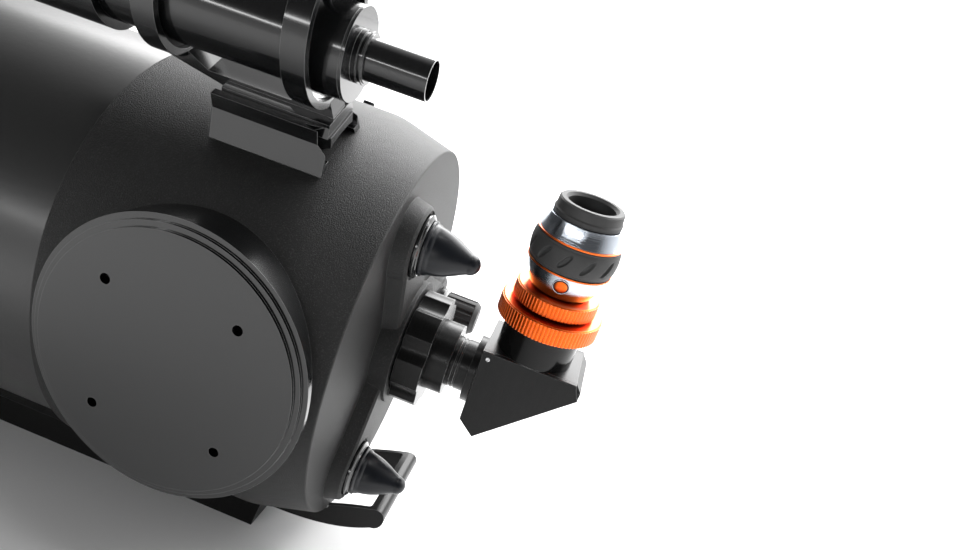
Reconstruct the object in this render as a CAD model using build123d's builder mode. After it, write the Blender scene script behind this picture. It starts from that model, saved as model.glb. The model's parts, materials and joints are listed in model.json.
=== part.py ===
"""Catadioptric telescope tube: rear cell, focuser, mirror clutches, finder, star diagonal and eyepiece.

+X is the rear of the tube, where the observer stands, and +Z is up. The optical axis runs along X at
AXIS_Z above the underside of the dovetail rail. Lengths along the axis are measured from the rear
rim of the rear cell, which stands at RIM_X, so a negative length is further forward.
"""

import os
from math import cos, radians, sin, sqrt, tan

from build123d import *

os.makedirs("parts", exist_ok=True)

# ---- frame and clearances ------------------------------------------------------------------
RIM_X = 300.0  # rear rim of the rear cell
FIT = 0.05  # radial running fit of a shaft in its bush
GAP = 0.3  # ordinary gap between neighbouring pieces

# ---- tube and cells ------------------------------------------------------------------------
CELL_R = 161.3
RAIL_DROP = 28.7  # from the cell's underside down to the rail's underside
AXIS_Z = CELL_R + RAIL_DROP
RIM_R = CELL_R - 11.5
TAPER_LEN = 45.0  # length of the cell's tapered tail
CELL_LEN = 192.0
WALL_T = 8.0  # rear wall of the cell
CELL_SKIN = 9.0
TUBE_R = 154.0
TUBE_T = 2.5
TUBE_SEAT = 25.0  # how far the tube enters each cell
TUBE_FRONT = -530.0
FRONT_CELL_FRONT = -570.0
FRONT_CELL_BACK = -505.0

# ---- raised three-armed plateau on the rear wall -------------------------------------------
KNOB_CIRCLE_R = 108.0  # circle that carries the two clutches and the focuser
CLUTCH_UP_ANGLE = 30.0  # from straight up, turning towards -Y
CLUTCH_LOW_ANGLE = 150.0
FOCUS_ANGLE = 270.0
ARM_HALF = 28.0
ARM_END_R = 30.0
PLATEAU_H = 12.5
PLATEAU_DRAFT = 14.0
PLATEAU_SOFT = 1.6  # height of the slope along its top edge
PLATEAU_EDGE_DRAFT = 50.0
HUB_R = 51.0
HUB_H = 15.5
BORE_R = 36.0
PORT_X = -72.0
PORT_ANGLE = -8.5
PORT_R = 2.6
PLUG_HEAD_R = 4.4
PLUG_HEAD_T = 2.2

# ---- lock ring, visual back, diagonal neck -------------------------------------------------
BOSS_R = 38.0
BOSS_END = 30.0
LOCK_R = 45.4
LOCK_START = 17.0
LOCK_END = 38.3
LOCK_LIP = 5.0
LOCK_LOBES = 7
LOCK_FLUTE_R = 16.0
LOCK_FLUTE_OUT = 12.0  # flute centres stand this far beyond the ring
LOCK_TURN = 8.0
BACK_R = 29.0
BACK_END = 53.7
BACK_BORE = 22.0
NECK_R = 20.8
NECK_BORE = 17.5
NECK_START = 43.0
COLLAR_R = 27.2
COLLAR_START = 69.3

# ---- star diagonal -------------------------------------------------------------------------
DIAGONAL_TILT = 7.5  # the diagonal is turned this far towards -Y
EYE_X = 110.5  # eyepiece axis behind the rim
BODY_FRONT = 75.3
BODY_REAR = 148.0
BODY_TOP = 34.0
BODY_HALF = 28.5  # half the width over the side plates
PLATE_T = 3.0
PLATE_BEVEL = 0.5
PLATE_SCREW_R = 1.2
BODY_REAR_Z = 21.0  # where the rear corner meets the slope
CORNER_RUN = 5.2  # the rear end leans out this far down to that corner
CORNER_RISE = 0.6
BODY_WALL = 8.0  # wall of the body round its mirror chamber
PLATE_SCREW_IN = 5.3  # the plate's screw from the corner's two edges
BODY_LOW_X = 89.0
BODY_LOW_Z = -43.2
BODY_FRONT_Z = -31.0
SLOPE_PLATE_T = 4.0
RECEPTACLE_R = 29.4
RECEPTACLE_TOP = 61.0
RECEPTACLE_BORE = 26.0

# ---- twist-lock rings and eyepiece, heights above the optical axis ---------------------------
LOW_RING_R = 38.0
LOW_RING_Z = (61.3, 75.6)
UP_RING_R = 31.0
UP_RING_Z = (77.3, 89.0)
SLEEVE_R = 22.0
BARREL_R = 15.875  # 1.25 inch push-fit barrel
LOW_RING_LIP = SLEEVE_R + 5.0  # inner edge of each ring's top lip
UP_RING_LIP = BARREL_R + 2.725
BARREL_LOW = 62.5
SHELL_LOW = 89.6
GRIP_LOW = 110.4
GRIP_HIGH = 131.0
SHELL_HIGH = 144.0
CUP_LOW = 144.3
CUP_HIGH = 155.0
CUP_R = 23.4
CUP_BORE = 17.1
ACCENT_T = 1.3

# ---- focuser and clutches --------------------------------------------------------------------
SCREW_R = 4.0
FOCUS_KNOB_R = 16.0
FOCUS_KNOB_START = 19.5
FOCUS_KNOB_END = 52.0
BEZEL_R = 22.6
BEZEL_T = 3.6
BEZEL_STEP = 1.6  # height of its wider lower step
BEZEL_WELL = 1.2  # depth of the round recess it stands in
WELL_R = 24.6
CLUTCH_R = 19.6
CLUTCH_FLANGE_T = 2.6
CLUTCH_CONE_R = 18.3  # foot of the cone, above its flange
CLUTCH_TIP = 55.6
CLUTCH_BALL_R = 8.4
CLUTCH_FLUTES = 3
FLUTE_CUT_R = 60.0  # radius of the broad flutes
FLUTE_DEPTH = 3.4
FLUTE_FOOT = 3.0  # bare band left between the flange and the flutes
ROD_R = 5.0
ROD_FRONT = -37.0  # front ends of the focus screw and the clutch rods, clear of the mirror
GROOVES = 12
UP_KNOB_TURN = 72.0  # where one flute of each clutch faces, from up towards -Y
LOW_KNOB_TURN = 58.0

# ---- mirror ------------------------------------------------------------------------------------
MIRROR_R = 140.0
MIRROR_BACK = -45.0
MIRROR_EDGE_T = 30.0
MIRROR_SAG = 8.0
BAFFLE_R = 27.0
BAFFLE_T = 1.5
BAFFLE_FRONT = -330.0
CARRIER_R = 32.6
CARRIER_PLATE_R = 62.0
NUT_END = -16.0  # rear end of the nut that the focus screw drives

# ---- corrector and secondary -------------------------------------------------------------------
CORRECTOR_R = 141.0
CORRECTOR_X = -556.0
CORRECTOR_T = 6.0
SECONDARY_R = 45.5

# ---- handle, side hubs, rail -------------------------------------------------------------------
HANDLE_HALF = 50.5
HANDLE_ARM_T = 4.0
HANDLE_CORNER_R = 3.0
HUB_DISC_R = 92.0
HUB_X = -95.0
HUB_FACE_Y = CELL_R + 8.7
HUB_BOLT_R = 60.0
HUB_STEP = 2.4
HUB_BOLT_DEPTH = 11.0
RAIL_LEN = 480.0
RAIL_TOP_HALF = 38.0
RAIL_BASE_HALF = 50.8
RAIL_T = 14.0
SADDLE_X = (-545.0, -150.0)
SADDLE_LEN = 38.0
SADDLE_TOP = 45.0
RAIL_SCREW_Y = 22.0
RAIL_SCREW_R = 3.0
RAIL_SCREW_HEAD_R = 5.0
RAIL_SCREW_HEAD_T = 5.0
RAIL_SCREW_TIP = 24.0  # height of its tip above the rail's underside

# ---- finder --------------------------------------------------------------------------------------
FINDER_ANGLE = 29.0
FINDER_R = CELL_R + 65.6  # finder axis from the optical axis
FINDER_TUBE_R = 25.7
FINDER_BACK = -40.4
FINDER_FRONT = -205.0
FINDER_BARREL_R = 11.5
FINDER_BARREL_BORE = 10.6
FINDER_BARREL_END = 2.6
FINDER_COLLAR_R = 14.4
FINDER_COLLAR_END = -33.6
FINDER_COLLAR_STEP = 3.0
OBJECTIVE_R = 31.0
OBJECTIVE_FRONT = -246.0
FRING_R = 31.6
FRING_BORE = 28.6
FRING_X = (-68.0, -160.0)
FRING_LEN = 14.0
BIG_RING_R = 40.0  # the rear ring is larger and set outwards, so the finder can be tilted in it
BIG_RING_BORE = 35.5
BIG_RING_OUT = 7.0
ADJUSTER_HEAD = 10.0
ADJUSTER_HEAD_R = 7.0
ADJUSTER_SHANK_R = 2.5
BASE_X = (-125.0, -49.5)
BASE_WEB = (CELL_R + 11.2, CELL_R + 17.4)
BASE_HALF = 18.5
BASE_LIP_TOP = CELL_R + 23.7  # top of the two lips that hold the shoe
BASE_LIP_T = 3.0
BASE_LEAN = 2.5  # how far each lip leans over the shoe
FOOT_HALF = 31.0
FOOT_T = 7.0
NOTCH_LEN = 16.0  # V-shaped relief in the rear end of each side


def polar(radius, angle):
    """The y and z of a point at a radius from the optical axis, the angle turning from up to -Y."""
    return -radius * sin(radians(angle)), AXIS_Z + radius * cos(radians(angle))


def across(x, y=0.0, z=AXIS_Z, turn=0.0):
    """A plane square to the optical axis, its local y up, turned towards -Y about its origin."""
    side = (0, cos(radians(turn)), sin(radians(turn)))
    return Plane(origin=(RIM_X + x, y, z), x_dir=side, z_dir=(1, 0, 0))


def bar(x0, x1, outer, inner=0.0, y=0.0, z=AXIS_Z, mode=Mode.ADD):
    """A round bar or tube along the optical direction."""
    with BuildSketch(across(x0, y, z)) as ring:
        Circle(outer)
        if inner:
            Circle(inner, mode=Mode.SUBTRACT)
    extrude(ring.sketch, amount=x1 - x0, mode=mode)


def turned(points, y=0.0, z=AXIS_Z, mode=Mode.ADD):
    """A solid turned about an axis along X from (x, radius) points."""
    lathe = Plane(origin=(RIM_X, y, z), x_dir=(1, 0, 0), z_dir=(0, -1, 0))
    with BuildSketch(lathe) as profile:
        with BuildLine():
            Polyline(*points, close=True)
        make_face()
    revolve(profile.sketch, axis=Axis((RIM_X, y, z), (1, 0, 0)), mode=mode)


TILT_S = sin(radians(DIAGONAL_TILT))
TILT_C = cos(radians(DIAGONAL_TILT))


def side(w):
    """A plane along the diagonal's side plates, w beyond its middle; local y is the eyepiece's up."""
    middle = (RIM_X, w * TILT_C, AXIS_Z + w * TILT_S)
    return Plane(origin=middle, x_dir=(1, 0, 0), z_dir=(0, -TILT_C, -TILT_S))


def level(h, x=EYE_X, w=0.0):
    """A plane square to the eyepiece axis at height h above the optical axis."""
    foot = (RIM_X + x, w * TILT_C - h * TILT_S, AXIS_Z + w * TILT_S + h * TILT_C)
    return Plane(origin=foot, x_dir=(1, 0, 0), z_dir=(0, -TILT_S, TILT_C))


EYE_AXIS = Axis((RIM_X + EYE_X, 0, AXIS_Z), (0, -TILT_S, TILT_C))


def stack(h0, h1, outer, inner=0.0, mode=Mode.ADD):
    """A round bar or tube along the eyepiece axis."""
    with BuildSketch(level(h0)) as ring:
        Circle(outer)
        if inner:
            Circle(inner, mode=Mode.SUBTRACT)
    extrude(ring.sketch, amount=h1 - h0, mode=mode)


def flutes(plane, count, radius, size, depth, mode=Mode.SUBTRACT):
    """Grooves round the outside of a knob: count round cutters on a circle."""
    with BuildSketch(plane) as cutters:
        with PolarLocations(radius, count):
            Circle(size)
    extrude(cutters.sketch, amount=depth, mode=mode)


def write(builder, name):
    builder.part.label = name
    export_step(builder.part, "parts/" + name + ".step")


FOCUS_Y, FOCUS_Z = polar(KNOB_CIRCLE_R, FOCUS_ANGLE)
UP_Y, UP_Z = polar(KNOB_CIRCLE_R, CLUTCH_UP_ANGLE)
LOW_Y, LOW_Z = polar(KNOB_CIRCLE_R, CLUTCH_LOW_ANGLE)
FINDER_Y, FINDER_Z = polar(FINDER_R, FINDER_ANGLE)

# ==== rear cell: tapered drum, rear wall, three-armed plateau, threaded boss ====================
with BuildPart() as rear_cell:
    drum = Plane(origin=(RIM_X, 0, AXIS_Z), x_dir=(1, 0, 0), z_dir=(0, -1, 0))
    with BuildSketch(drum) as drum_profile:
        with BuildLine():
            Polyline(
                (-CELL_LEN, TUBE_R + GAP),
                (-CELL_LEN, CELL_R),
                (-TAPER_LEN, CELL_R),
                (0, RIM_R),
                (0, BORE_R),
                (-WALL_T, BORE_R),
                (-WALL_T, RIM_R - CELL_SKIN),
                (-TAPER_LEN, CELL_R - CELL_SKIN),
                (-CELL_LEN + TUBE_SEAT, CELL_R - CELL_SKIN),
                (-CELL_LEN + TUBE_SEAT, TUBE_R + GAP),
                close=True,
            )
        make_face()
        soft = drum_profile.vertices().group_by(Axis.Y)[-1].sort_by(Axis.X)[-1]
        fillet(soft, radius=60)
        rim = drum_profile.vertices().group_by(Axis.X)[-1].sort_by(Axis.Y)[-1]
        fillet(rim, radius=1.6)
    revolve(axis=Axis((RIM_X, 0, AXIS_Z), (1, 0, 0)))
    wall_h = PLATEAU_H - PLATEAU_SOFT
    drawn_in = wall_h * tan(radians(PLATEAU_DRAFT))
    for arm_angle in (CLUTCH_UP_ANGLE, CLUTCH_LOW_ANGLE, FOCUS_ANGLE):
        for foot, rise, draft, inset in (
            (0, wall_h, PLATEAU_DRAFT, 0),
            (wall_h, PLATEAU_SOFT, PLATEAU_EDGE_DRAFT, drawn_in),
        ):
            with BuildSketch(across(foot, turn=arm_angle)) as arm:
                with Locations((0, KNOB_CIRCLE_R / 2)):
                    Rectangle(2 * (ARM_HALF - inset), KNOB_CIRCLE_R)
                with Locations((0, KNOB_CIRCLE_R)):
                    Circle(ARM_END_R - inset)
            extrude(arm.sketch, amount=rise, taper=draft)
    bar(-WALL_T, HUB_H, HUB_R)
    bar(HUB_H, BOSS_END, BOSS_R)
    bar(-WALL_T, HUB_H, BORE_R, mode=Mode.SUBTRACT)
    bar(HUB_H - 1, BOSS_END, BACK_R + 1, mode=Mode.SUBTRACT)
    for knob_y, knob_z, hole in ((UP_Y, UP_Z, ROD_R), (LOW_Y, LOW_Z, ROD_R), (FOCUS_Y, FOCUS_Z, 9.0)):
        bar(-WALL_T, PLATEAU_H, hole + GAP, y=knob_y, z=knob_z, mode=Mode.SUBTRACT)
    for knob_y, knob_z in ((UP_Y, UP_Z), (LOW_Y, LOW_Z)):
        bar(PLATEAU_H - BEZEL_WELL, PLATEAU_H, WELL_R, y=knob_y, z=knob_z, mode=Mode.SUBTRACT)
    port = Plane(origin=(RIM_X + PORT_X, *polar(0, PORT_ANGLE)), x_dir=(1, 0, 0),
                 z_dir=(0, -sin(radians(PORT_ANGLE)), cos(radians(PORT_ANGLE))))
    with BuildSketch(port.offset(CELL_R - CELL_SKIN - 1)) as port_hole:
        Circle(PORT_R + GAP)
    extrude(port_hole.sketch, amount=CELL_SKIN + 2, mode=Mode.SUBTRACT)
write(rear_cell, "rear_cell")

# ==== small round plug in a port on top of the rear cell =========================================
with BuildPart() as port_plug:
    with BuildSketch(port.offset(CELL_R - CELL_SKIN + 1)) as plug_shank:
        Circle(PORT_R)
    extrude(plug_shank.sketch, amount=CELL_SKIN)
    with BuildSketch(port.offset(CELL_R + 0.02)) as plug_head:
        Circle(PLUG_HEAD_R)
    extrude(plug_head.sketch, amount=PLUG_HEAD_T)
    top_edge = port_plug.edges().filter_by(GeomType.CIRCLE).sort_by(Axis.Z)[-1]
    fillet(top_edge, radius=0.9)
write(port_plug, "port_plug")

# ==== main tube and front cell ===================================================================
with BuildPart() as main_tube:
    bar(TUBE_FRONT, -CELL_LEN + TUBE_SEAT - 1, TUBE_R, TUBE_R - TUBE_T)
write(main_tube, "main_tube")

with BuildPart() as front_cell:
    turned([
        (FRONT_CELL_FRONT, CORRECTOR_R + 4),
        (FRONT_CELL_FRONT, CELL_R - 3),
        (FRONT_CELL_FRONT + 3, CELL_R),
        (FRONT_CELL_BACK, CELL_R),
        (FRONT_CELL_BACK, TUBE_R + GAP),
        (TUBE_FRONT - 1, TUBE_R + GAP),
        (TUBE_FRONT - 1, CORRECTOR_R - 6),
        (CORRECTOR_X + CORRECTOR_T + GAP, CORRECTOR_R - 6),
        (CORRECTOR_X + CORRECTOR_T + GAP, CORRECTOR_R + GAP),
        (CORRECTOR_X - GAP, CORRECTOR_R + GAP),
        (CORRECTOR_X - GAP, CORRECTOR_R + 4),
    ])
write(front_cell, "front_cell")

with BuildPart() as corrector_plate:
    bar(CORRECTOR_X, CORRECTOR_X + CORRECTOR_T, CORRECTOR_R, SECONDARY_R + GAP)
write(corrector_plate, "corrector_plate")

RING_FRONT = CORRECTOR_X - GAP - 5
with BuildPart() as corrector_retaining_ring:
    bar(RING_FRONT, CORRECTOR_X - GAP, CORRECTOR_R + 4 - GAP, CORRECTOR_R - 9)
    with BuildSketch(across(RING_FRONT)) as ring_holes:
        with PolarLocations(CORRECTOR_R - 2, 8):
            Circle(1.7)
    extrude(ring_holes.sketch, amount=4, mode=Mode.SUBTRACT)
write(corrector_retaining_ring, "corrector_retaining_ring")

with BuildPart() as retaining_ring_screws:
    with BuildSketch(across(RING_FRONT)) as shanks:
        with PolarLocations(CORRECTOR_R - 2, 8):
            Circle(1.4)
    extrude(shanks.sketch, amount=3.5)
    with BuildSketch(across(RING_FRONT)) as heads:
        with PolarLocations(CORRECTOR_R - 2, 8):
            Circle(2.9)
    extrude(heads.sketch, amount=-2)
write(retaining_ring_screws, "retaining_ring_screws")

# ==== secondary mirror in the middle of the corrector ============================================
CELL_BACK = CORRECTOR_X + CORRECTOR_T + GAP
with BuildPart() as secondary_cell:
    turned([
        (CORRECTOR_X - GAP - 9, 0),
        (CORRECTOR_X - GAP - 9, SECONDARY_R + 3),
        (CORRECTOR_X - GAP - 6, SECONDARY_R + 6),
        (CORRECTOR_X - GAP, SECONDARY_R + 6),
        (CORRECTOR_X - GAP, SECONDARY_R),
        (CELL_BACK + 16, SECONDARY_R),
        (CELL_BACK + 16, SECONDARY_R - 4),
        (CORRECTOR_X - GAP - 3, SECONDARY_R - 4),
        (CORRECTOR_X - GAP - 3, 0),
    ])
write(secondary_cell, "secondary_cell")

with BuildPart() as secondary_retainer:
    bar(CELL_BACK, CELL_BACK + 6, SECONDARY_R + 6, SECONDARY_R + GAP)
write(secondary_retainer, "secondary_retainer")

with BuildPart() as secondary_mirror:
    bar(CORRECTOR_X, CORRECTOR_X + 12, SECONDARY_R - 4 - GAP)
write(secondary_mirror, "secondary_mirror")

with BuildPart() as secondary_cover:
    turned([
        (CORRECTOR_X - GAP - 9.3, 0),
        (CORRECTOR_X - GAP - 9.3, SECONDARY_R - 3),
        (CORRECTOR_X - GAP - 13, SECONDARY_R - 5),
        (CORRECTOR_X - GAP - 13, 0),
    ])
write(secondary_cover, "secondary_cover")

# ==== baffle tube, sliding mirror carrier, primary mirror ========================================
with BuildPart() as primary_baffle_tube:
    bar(BAFFLE_FRONT, HUB_H - 1 - GAP, BAFFLE_R, BAFFLE_R - BAFFLE_T)
    bar(-WALL_T, HUB_H - 1 - GAP, BORE_R - GAP, BAFFLE_R - BAFFLE_T)
write(primary_baffle_tube, "primary_baffle_tube")

CARRIER_PLATE_X = MIRROR_BACK + GAP
with BuildPart() as mirror_carrier:
    bar(MIRROR_BACK - MIRROR_EDGE_T - 8, MIRROR_BACK + 18, CARRIER_R)
    bar(CARRIER_PLATE_X, CARRIER_PLATE_X + 6, CARRIER_PLATE_R)
    with BuildSketch(across(CARRIER_PLATE_X, turn=FOCUS_ANGLE)) as lug:
        with Locations((0, KNOB_CIRCLE_R / 2)):
            Rectangle(26, KNOB_CIRCLE_R)
        with Locations((0, KNOB_CIRCLE_R)):
            Circle(13)
    extrude(lug.sketch, amount=6)
    bar(CARRIER_PLATE_X, NUT_END, 9, y=FOCUS_Y, z=FOCUS_Z)
    bar(MIRROR_BACK - 60, MIRROR_BACK + 30, BAFFLE_R + FIT, mode=Mode.SUBTRACT)
    bar(MIRROR_BACK - 60, MIRROR_BACK + 30, SCREW_R + FIT, y=FOCUS_Y, z=FOCUS_Z, mode=Mode.SUBTRACT)
write(mirror_carrier, "mirror_carrier")

with BuildPart() as primary_mirror:
    lathe = Plane(origin=(RIM_X, 0, AXIS_Z), x_dir=(1, 0, 0), z_dir=(0, -1, 0))
    mirror_front = MIRROR_BACK - MIRROR_EDGE_T
    with BuildSketch(lathe) as blank:
        with BuildLine():
            Polyline(
                (mirror_front + MIRROR_SAG, CARRIER_R + GAP),
                (MIRROR_BACK, CARRIER_R + GAP),
                (MIRROR_BACK, MIRROR_R),
                (mirror_front, MIRROR_R),
            )
            ThreePointArc(
                (mirror_front, MIRROR_R),
                (mirror_front + MIRROR_SAG * 0.7, MIRROR_R * 0.6),
                (mirror_front + MIRROR_SAG, CARRIER_R + GAP),
            )
        make_face()
    revolve(axis=Axis((RIM_X, 0, AXIS_Z), (1, 0, 0)))
write(primary_mirror, "primary_mirror")

# ==== focuser ======================================================================================
with BuildPart() as focus_bush:
    bar(PLATEAU_H + GAP, PLATEAU_H + 4, 17.5, y=FOCUS_Y, z=FOCUS_Z)
    bar(-WALL_T, PLATEAU_H + GAP, 9.0, y=FOCUS_Y, z=FOCUS_Z)
    bar(-WALL_T, PLATEAU_H + 4, SCREW_R + FIT, y=FOCUS_Y, z=FOCUS_Z, mode=Mode.SUBTRACT)
write(focus_bush, "focus_bush")

with BuildPart() as focus_screw:
    bar(ROD_FRONT, FOCUS_KNOB_START + 14, SCREW_R, y=FOCUS_Y, z=FOCUS_Z)
write(focus_screw, "focus_screw")

with BuildPart() as focus_knob:
    turned([
        (FOCUS_KNOB_START, 0),
        (FOCUS_KNOB_START, FOCUS_KNOB_R - 1),
        (FOCUS_KNOB_START + 1, FOCUS_KNOB_R),
        (FOCUS_KNOB_END - 4, FOCUS_KNOB_R),
        (FOCUS_KNOB_END, FOCUS_KNOB_R - 3),
        (FOCUS_KNOB_END, 0),
    ], y=FOCUS_Y, z=FOCUS_Z)
    flutes(across(FOCUS_KNOB_START, FOCUS_Y, FOCUS_Z), GROOVES, FOCUS_KNOB_R + 1.2, 2.4,
           FOCUS_KNOB_END - FOCUS_KNOB_START - 4.5)
    bar(FOCUS_KNOB_START, FOCUS_KNOB_START + 14.5, SCREW_R + GAP, y=FOCUS_Y, z=FOCUS_Z,
        mode=Mode.SUBTRACT)
write(focus_knob, "focus_knob")

# ==== mirror clutches ================================================================================
BEZEL_FOOT = PLATEAU_H - BEZEL_WELL
BEZEL_TOP = PLATEAU_H + GAP + BEZEL_T
CLUTCH_START = BEZEL_TOP + GAP
with BuildPart() as clutch_bezels:
    for knob_y, knob_z in ((UP_Y, UP_Z), (LOW_Y, LOW_Z)):
        turned([
            (BEZEL_FOOT, ROD_R + GAP),
            (BEZEL_FOOT, BEZEL_R),
            (BEZEL_TOP - BEZEL_T + BEZEL_STEP, BEZEL_R),
            (BEZEL_TOP - BEZEL_T + BEZEL_STEP + 0.6, BEZEL_R - 0.8),
            (BEZEL_TOP - 0.8, CLUTCH_R + 1.2),
            (BEZEL_TOP, CLUTCH_R + 0.4),
            (BEZEL_TOP, ROD_R + GAP),
        ], y=knob_y, z=knob_z)
write(clutch_bezels, "clutch_bezels")


def clutch_knob(y, z, facing):
    """A cone with a ball tip on a round flange, three broad flutes down its sides."""
    lathe = Plane(origin=(RIM_X, y, z), x_dir=(1, 0, 0), z_dir=(0, -1, 0))
    cone_x = CLUTCH_START + CLUTCH_FLANGE_T
    ball_x = CLUTCH_TIP - CLUTCH_BALL_R
    cone_len = ball_x - cone_x
    with BuildSketch(lathe) as profile:
        with BuildLine():
            Polyline(
                (CLUTCH_START, 0),
                (CLUTCH_START, CLUTCH_R),
                (cone_x - 0.8, CLUTCH_R),
                (cone_x, CLUTCH_CONE_R),
            )
            Spline(
                (cone_x, CLUTCH_CONE_R),
                (cone_x + cone_len * 0.27, CLUTCH_CONE_R * 0.91),
                (cone_x + cone_len * 0.62, CLUTCH_CONE_R * 0.70),
                (ball_x, CLUTCH_BALL_R),
                tangents=((1, -0.1), (1, -0.12)),
            )
            RadiusArc((ball_x, CLUTCH_BALL_R), (CLUTCH_TIP, 0), CLUTCH_BALL_R)
            Line((CLUTCH_TIP, 0), (CLUTCH_START, 0))
        make_face()
    revolve(profile.sketch, axis=Axis((RIM_X, y, z), (1, 0, 0)))
    flute_len = cone_len - FLUTE_FOOT
    lean = (CLUTCH_CONE_R - FLUTE_DEPTH - CLUTCH_BALL_R + 0.2) / flute_len
    for k in range(CLUTCH_FLUTES):
        turn = radians(facing + k * 360 / CLUTCH_FLUTES)
        out = Vector(0, -sin(turn), cos(turn))
        along = Vector(1, 0, 0) - out * lean
        reach = CLUTCH_CONE_R + FLUTE_CUT_R - FLUTE_DEPTH
        middle = Vector(RIM_X + cone_x + FLUTE_FOOT, y, z) + out * reach
        cutter = Plane(origin=middle, x_dir=out, z_dir=along)
        with BuildSketch(cutter) as flute:
            Circle(FLUTE_CUT_R)
        extrude(flute.sketch, amount=flute_len + CLUTCH_BALL_R, mode=Mode.SUBTRACT)
    bar(CLUTCH_START, CLUTCH_START + 12.5, ROD_R + GAP, y=y, z=z, mode=Mode.SUBTRACT)


with BuildPart() as clutch_knob_upper:
    clutch_knob(UP_Y, UP_Z, UP_KNOB_TURN)
write(clutch_knob_upper, "clutch_knob_upper")

with BuildPart() as clutch_knob_lower:
    clutch_knob(LOW_Y, LOW_Z, LOW_KNOB_TURN)
write(clutch_knob_lower, "clutch_knob_lower")

with BuildPart() as clutch_rod_upper:
    bar(ROD_FRONT, CLUTCH_START + 12, ROD_R, y=UP_Y, z=UP_Z)
write(clutch_rod_upper, "clutch_rod_upper")

with BuildPart() as clutch_rod_lower:
    bar(ROD_FRONT, CLUTCH_START + 12, ROD_R, y=LOW_Y, z=LOW_Z)
write(clutch_rod_lower, "clutch_rod_lower")

# ==== lock ring and visual back ======================================================================
with BuildPart() as lock_ring:
    with BuildSketch(across(LOCK_START)) as lobes:
        Circle(LOCK_R)
        with PolarLocations(LOCK_R + LOCK_FLUTE_OUT, LOCK_LOBES, start_angle=LOCK_TURN):
            Circle(LOCK_FLUTE_R, mode=Mode.SUBTRACT)
        fillet(lobes.vertices(), radius=2.2)
    extrude(lobes.sketch, amount=LOCK_END - LOCK_START)
    bar(LOCK_START, LOCK_END - LOCK_LIP, BOSS_R + GAP, mode=Mode.SUBTRACT)
    bar(LOCK_START, LOCK_END, BACK_R + GAP, mode=Mode.SUBTRACT)
write(lock_ring, "lock_ring")

with BuildPart() as visual_back:
    bar(BOSS_END + GAP, LOCK_END - LOCK_LIP - GAP, BOSS_R - 1)
    bar(HUB_H, BACK_END, BACK_R)
    bar(HUB_H, NECK_START - 2, BACK_BORE - 3, mode=Mode.SUBTRACT)
    bar(NECK_START - 2, BACK_END, NECK_R + FIT, mode=Mode.SUBTRACT)
write(visual_back, "visual_back")

# ==== star diagonal ====================================================================================
with BuildPart() as diagonal_neck:
    bar(NECK_START, COLLAR_START, NECK_R)
    bar(COLLAR_START, BODY_FRONT - GAP, COLLAR_R)
    for groove_x in (BACK_END + 3.0, BACK_END + 6.0):
        bar(groove_x, groove_x + 1.2, NECK_R + 1, NECK_R - 0.8, mode=Mode.SUBTRACT)
    bar(NECK_START, BODY_FRONT, NECK_BORE, mode=Mode.SUBTRACT)
write(diagonal_neck, "diagonal_neck")


def prism(inset, low):
    """The diagonal's side outline, its slope moved in by low and the rest by inset."""
    Polyline(
        (BODY_FRONT + inset, BODY_TOP - inset),
        (BODY_REAR - inset, BODY_TOP - inset),
        (BODY_REAR - inset + CORNER_RUN, BODY_REAR_Z + CORNER_RISE + low - inset),
        (BODY_LOW_X, BODY_LOW_Z + low),
        (BODY_FRONT + inset, BODY_FRONT_Z + low - inset * 0.2),
        close=True,
    )


INNER_HALF = BODY_HALF - PLATE_T
SLOPE_OFF = SLOPE_PLATE_T * sqrt(2)
with BuildPart() as diagonal_body:
    with BuildSketch(side(INNER_HALF - GAP)) as block:
        with BuildLine():
            prism(0, SLOPE_OFF + GAP)
        make_face()
    extrude(block.sketch, amount=2 * (INNER_HALF - GAP))
    bar(BODY_FRONT - 1, BODY_FRONT + 12, NECK_BORE, mode=Mode.SUBTRACT)
    stack(BODY_TOP - 12, BODY_TOP + 1, RECEPTACLE_BORE - 4, mode=Mode.SUBTRACT)
    with BuildSketch(side(INNER_HALF - 6)) as cavity:
        with BuildLine():
            Polyline(
                (BODY_FRONT + BODY_WALL, BODY_TOP - BODY_WALL),
                (BODY_REAR - 10, BODY_TOP - BODY_WALL),
                (BODY_REAR - 10, BODY_TOP - 10),
                (BODY_FRONT + BODY_WALL, BODY_TOP - BODY_REAR + BODY_FRONT + BODY_WALL),
                close=True,
            )
        make_face()
    extrude(cavity.sketch, amount=2 * (INNER_HALF - 6), mode=Mode.SUBTRACT)
write(diagonal_body, "diagonal_body")


def side_plate(w, outer_face):
    """A flat plate closing one side, PLATE_T thick towards -Y, with a bevel round its outer face."""
    with BuildSketch(side(w)) as outline:
        with BuildLine():
            prism(0, 0)
        make_face()
    extrude(outline.sketch, amount=PLATE_T)
    flats = outer_face.faces().filter_by(GeomType.PLANE).sort_by(SortBy.AREA)[-2:]
    wanted = flats.sort_by(Axis.Y)[0 if w < 0 else -1]
    chamfer(wanted.edges(), PLATE_BEVEL)


PLATE_SCREWS = ((BODY_FRONT + PLATE_SCREW_IN, BODY_TOP - PLATE_SCREW_IN),)
with BuildPart() as diagonal_side_plate_near:
    side_plate(-INNER_HALF, diagonal_side_plate_near)
    with BuildSketch(side(-INNER_HALF)) as near_holes:
        with Locations(*PLATE_SCREWS):
            Circle(PLATE_SCREW_R + 0.2)
    extrude(near_holes.sketch, amount=PLATE_T, mode=Mode.SUBTRACT)
write(diagonal_side_plate_near, "diagonal_side_plate_near")

with BuildPart() as diagonal_side_plate_far:
    side_plate(BODY_HALF, diagonal_side_plate_far)
write(diagonal_side_plate_far, "diagonal_side_plate_far")

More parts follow.
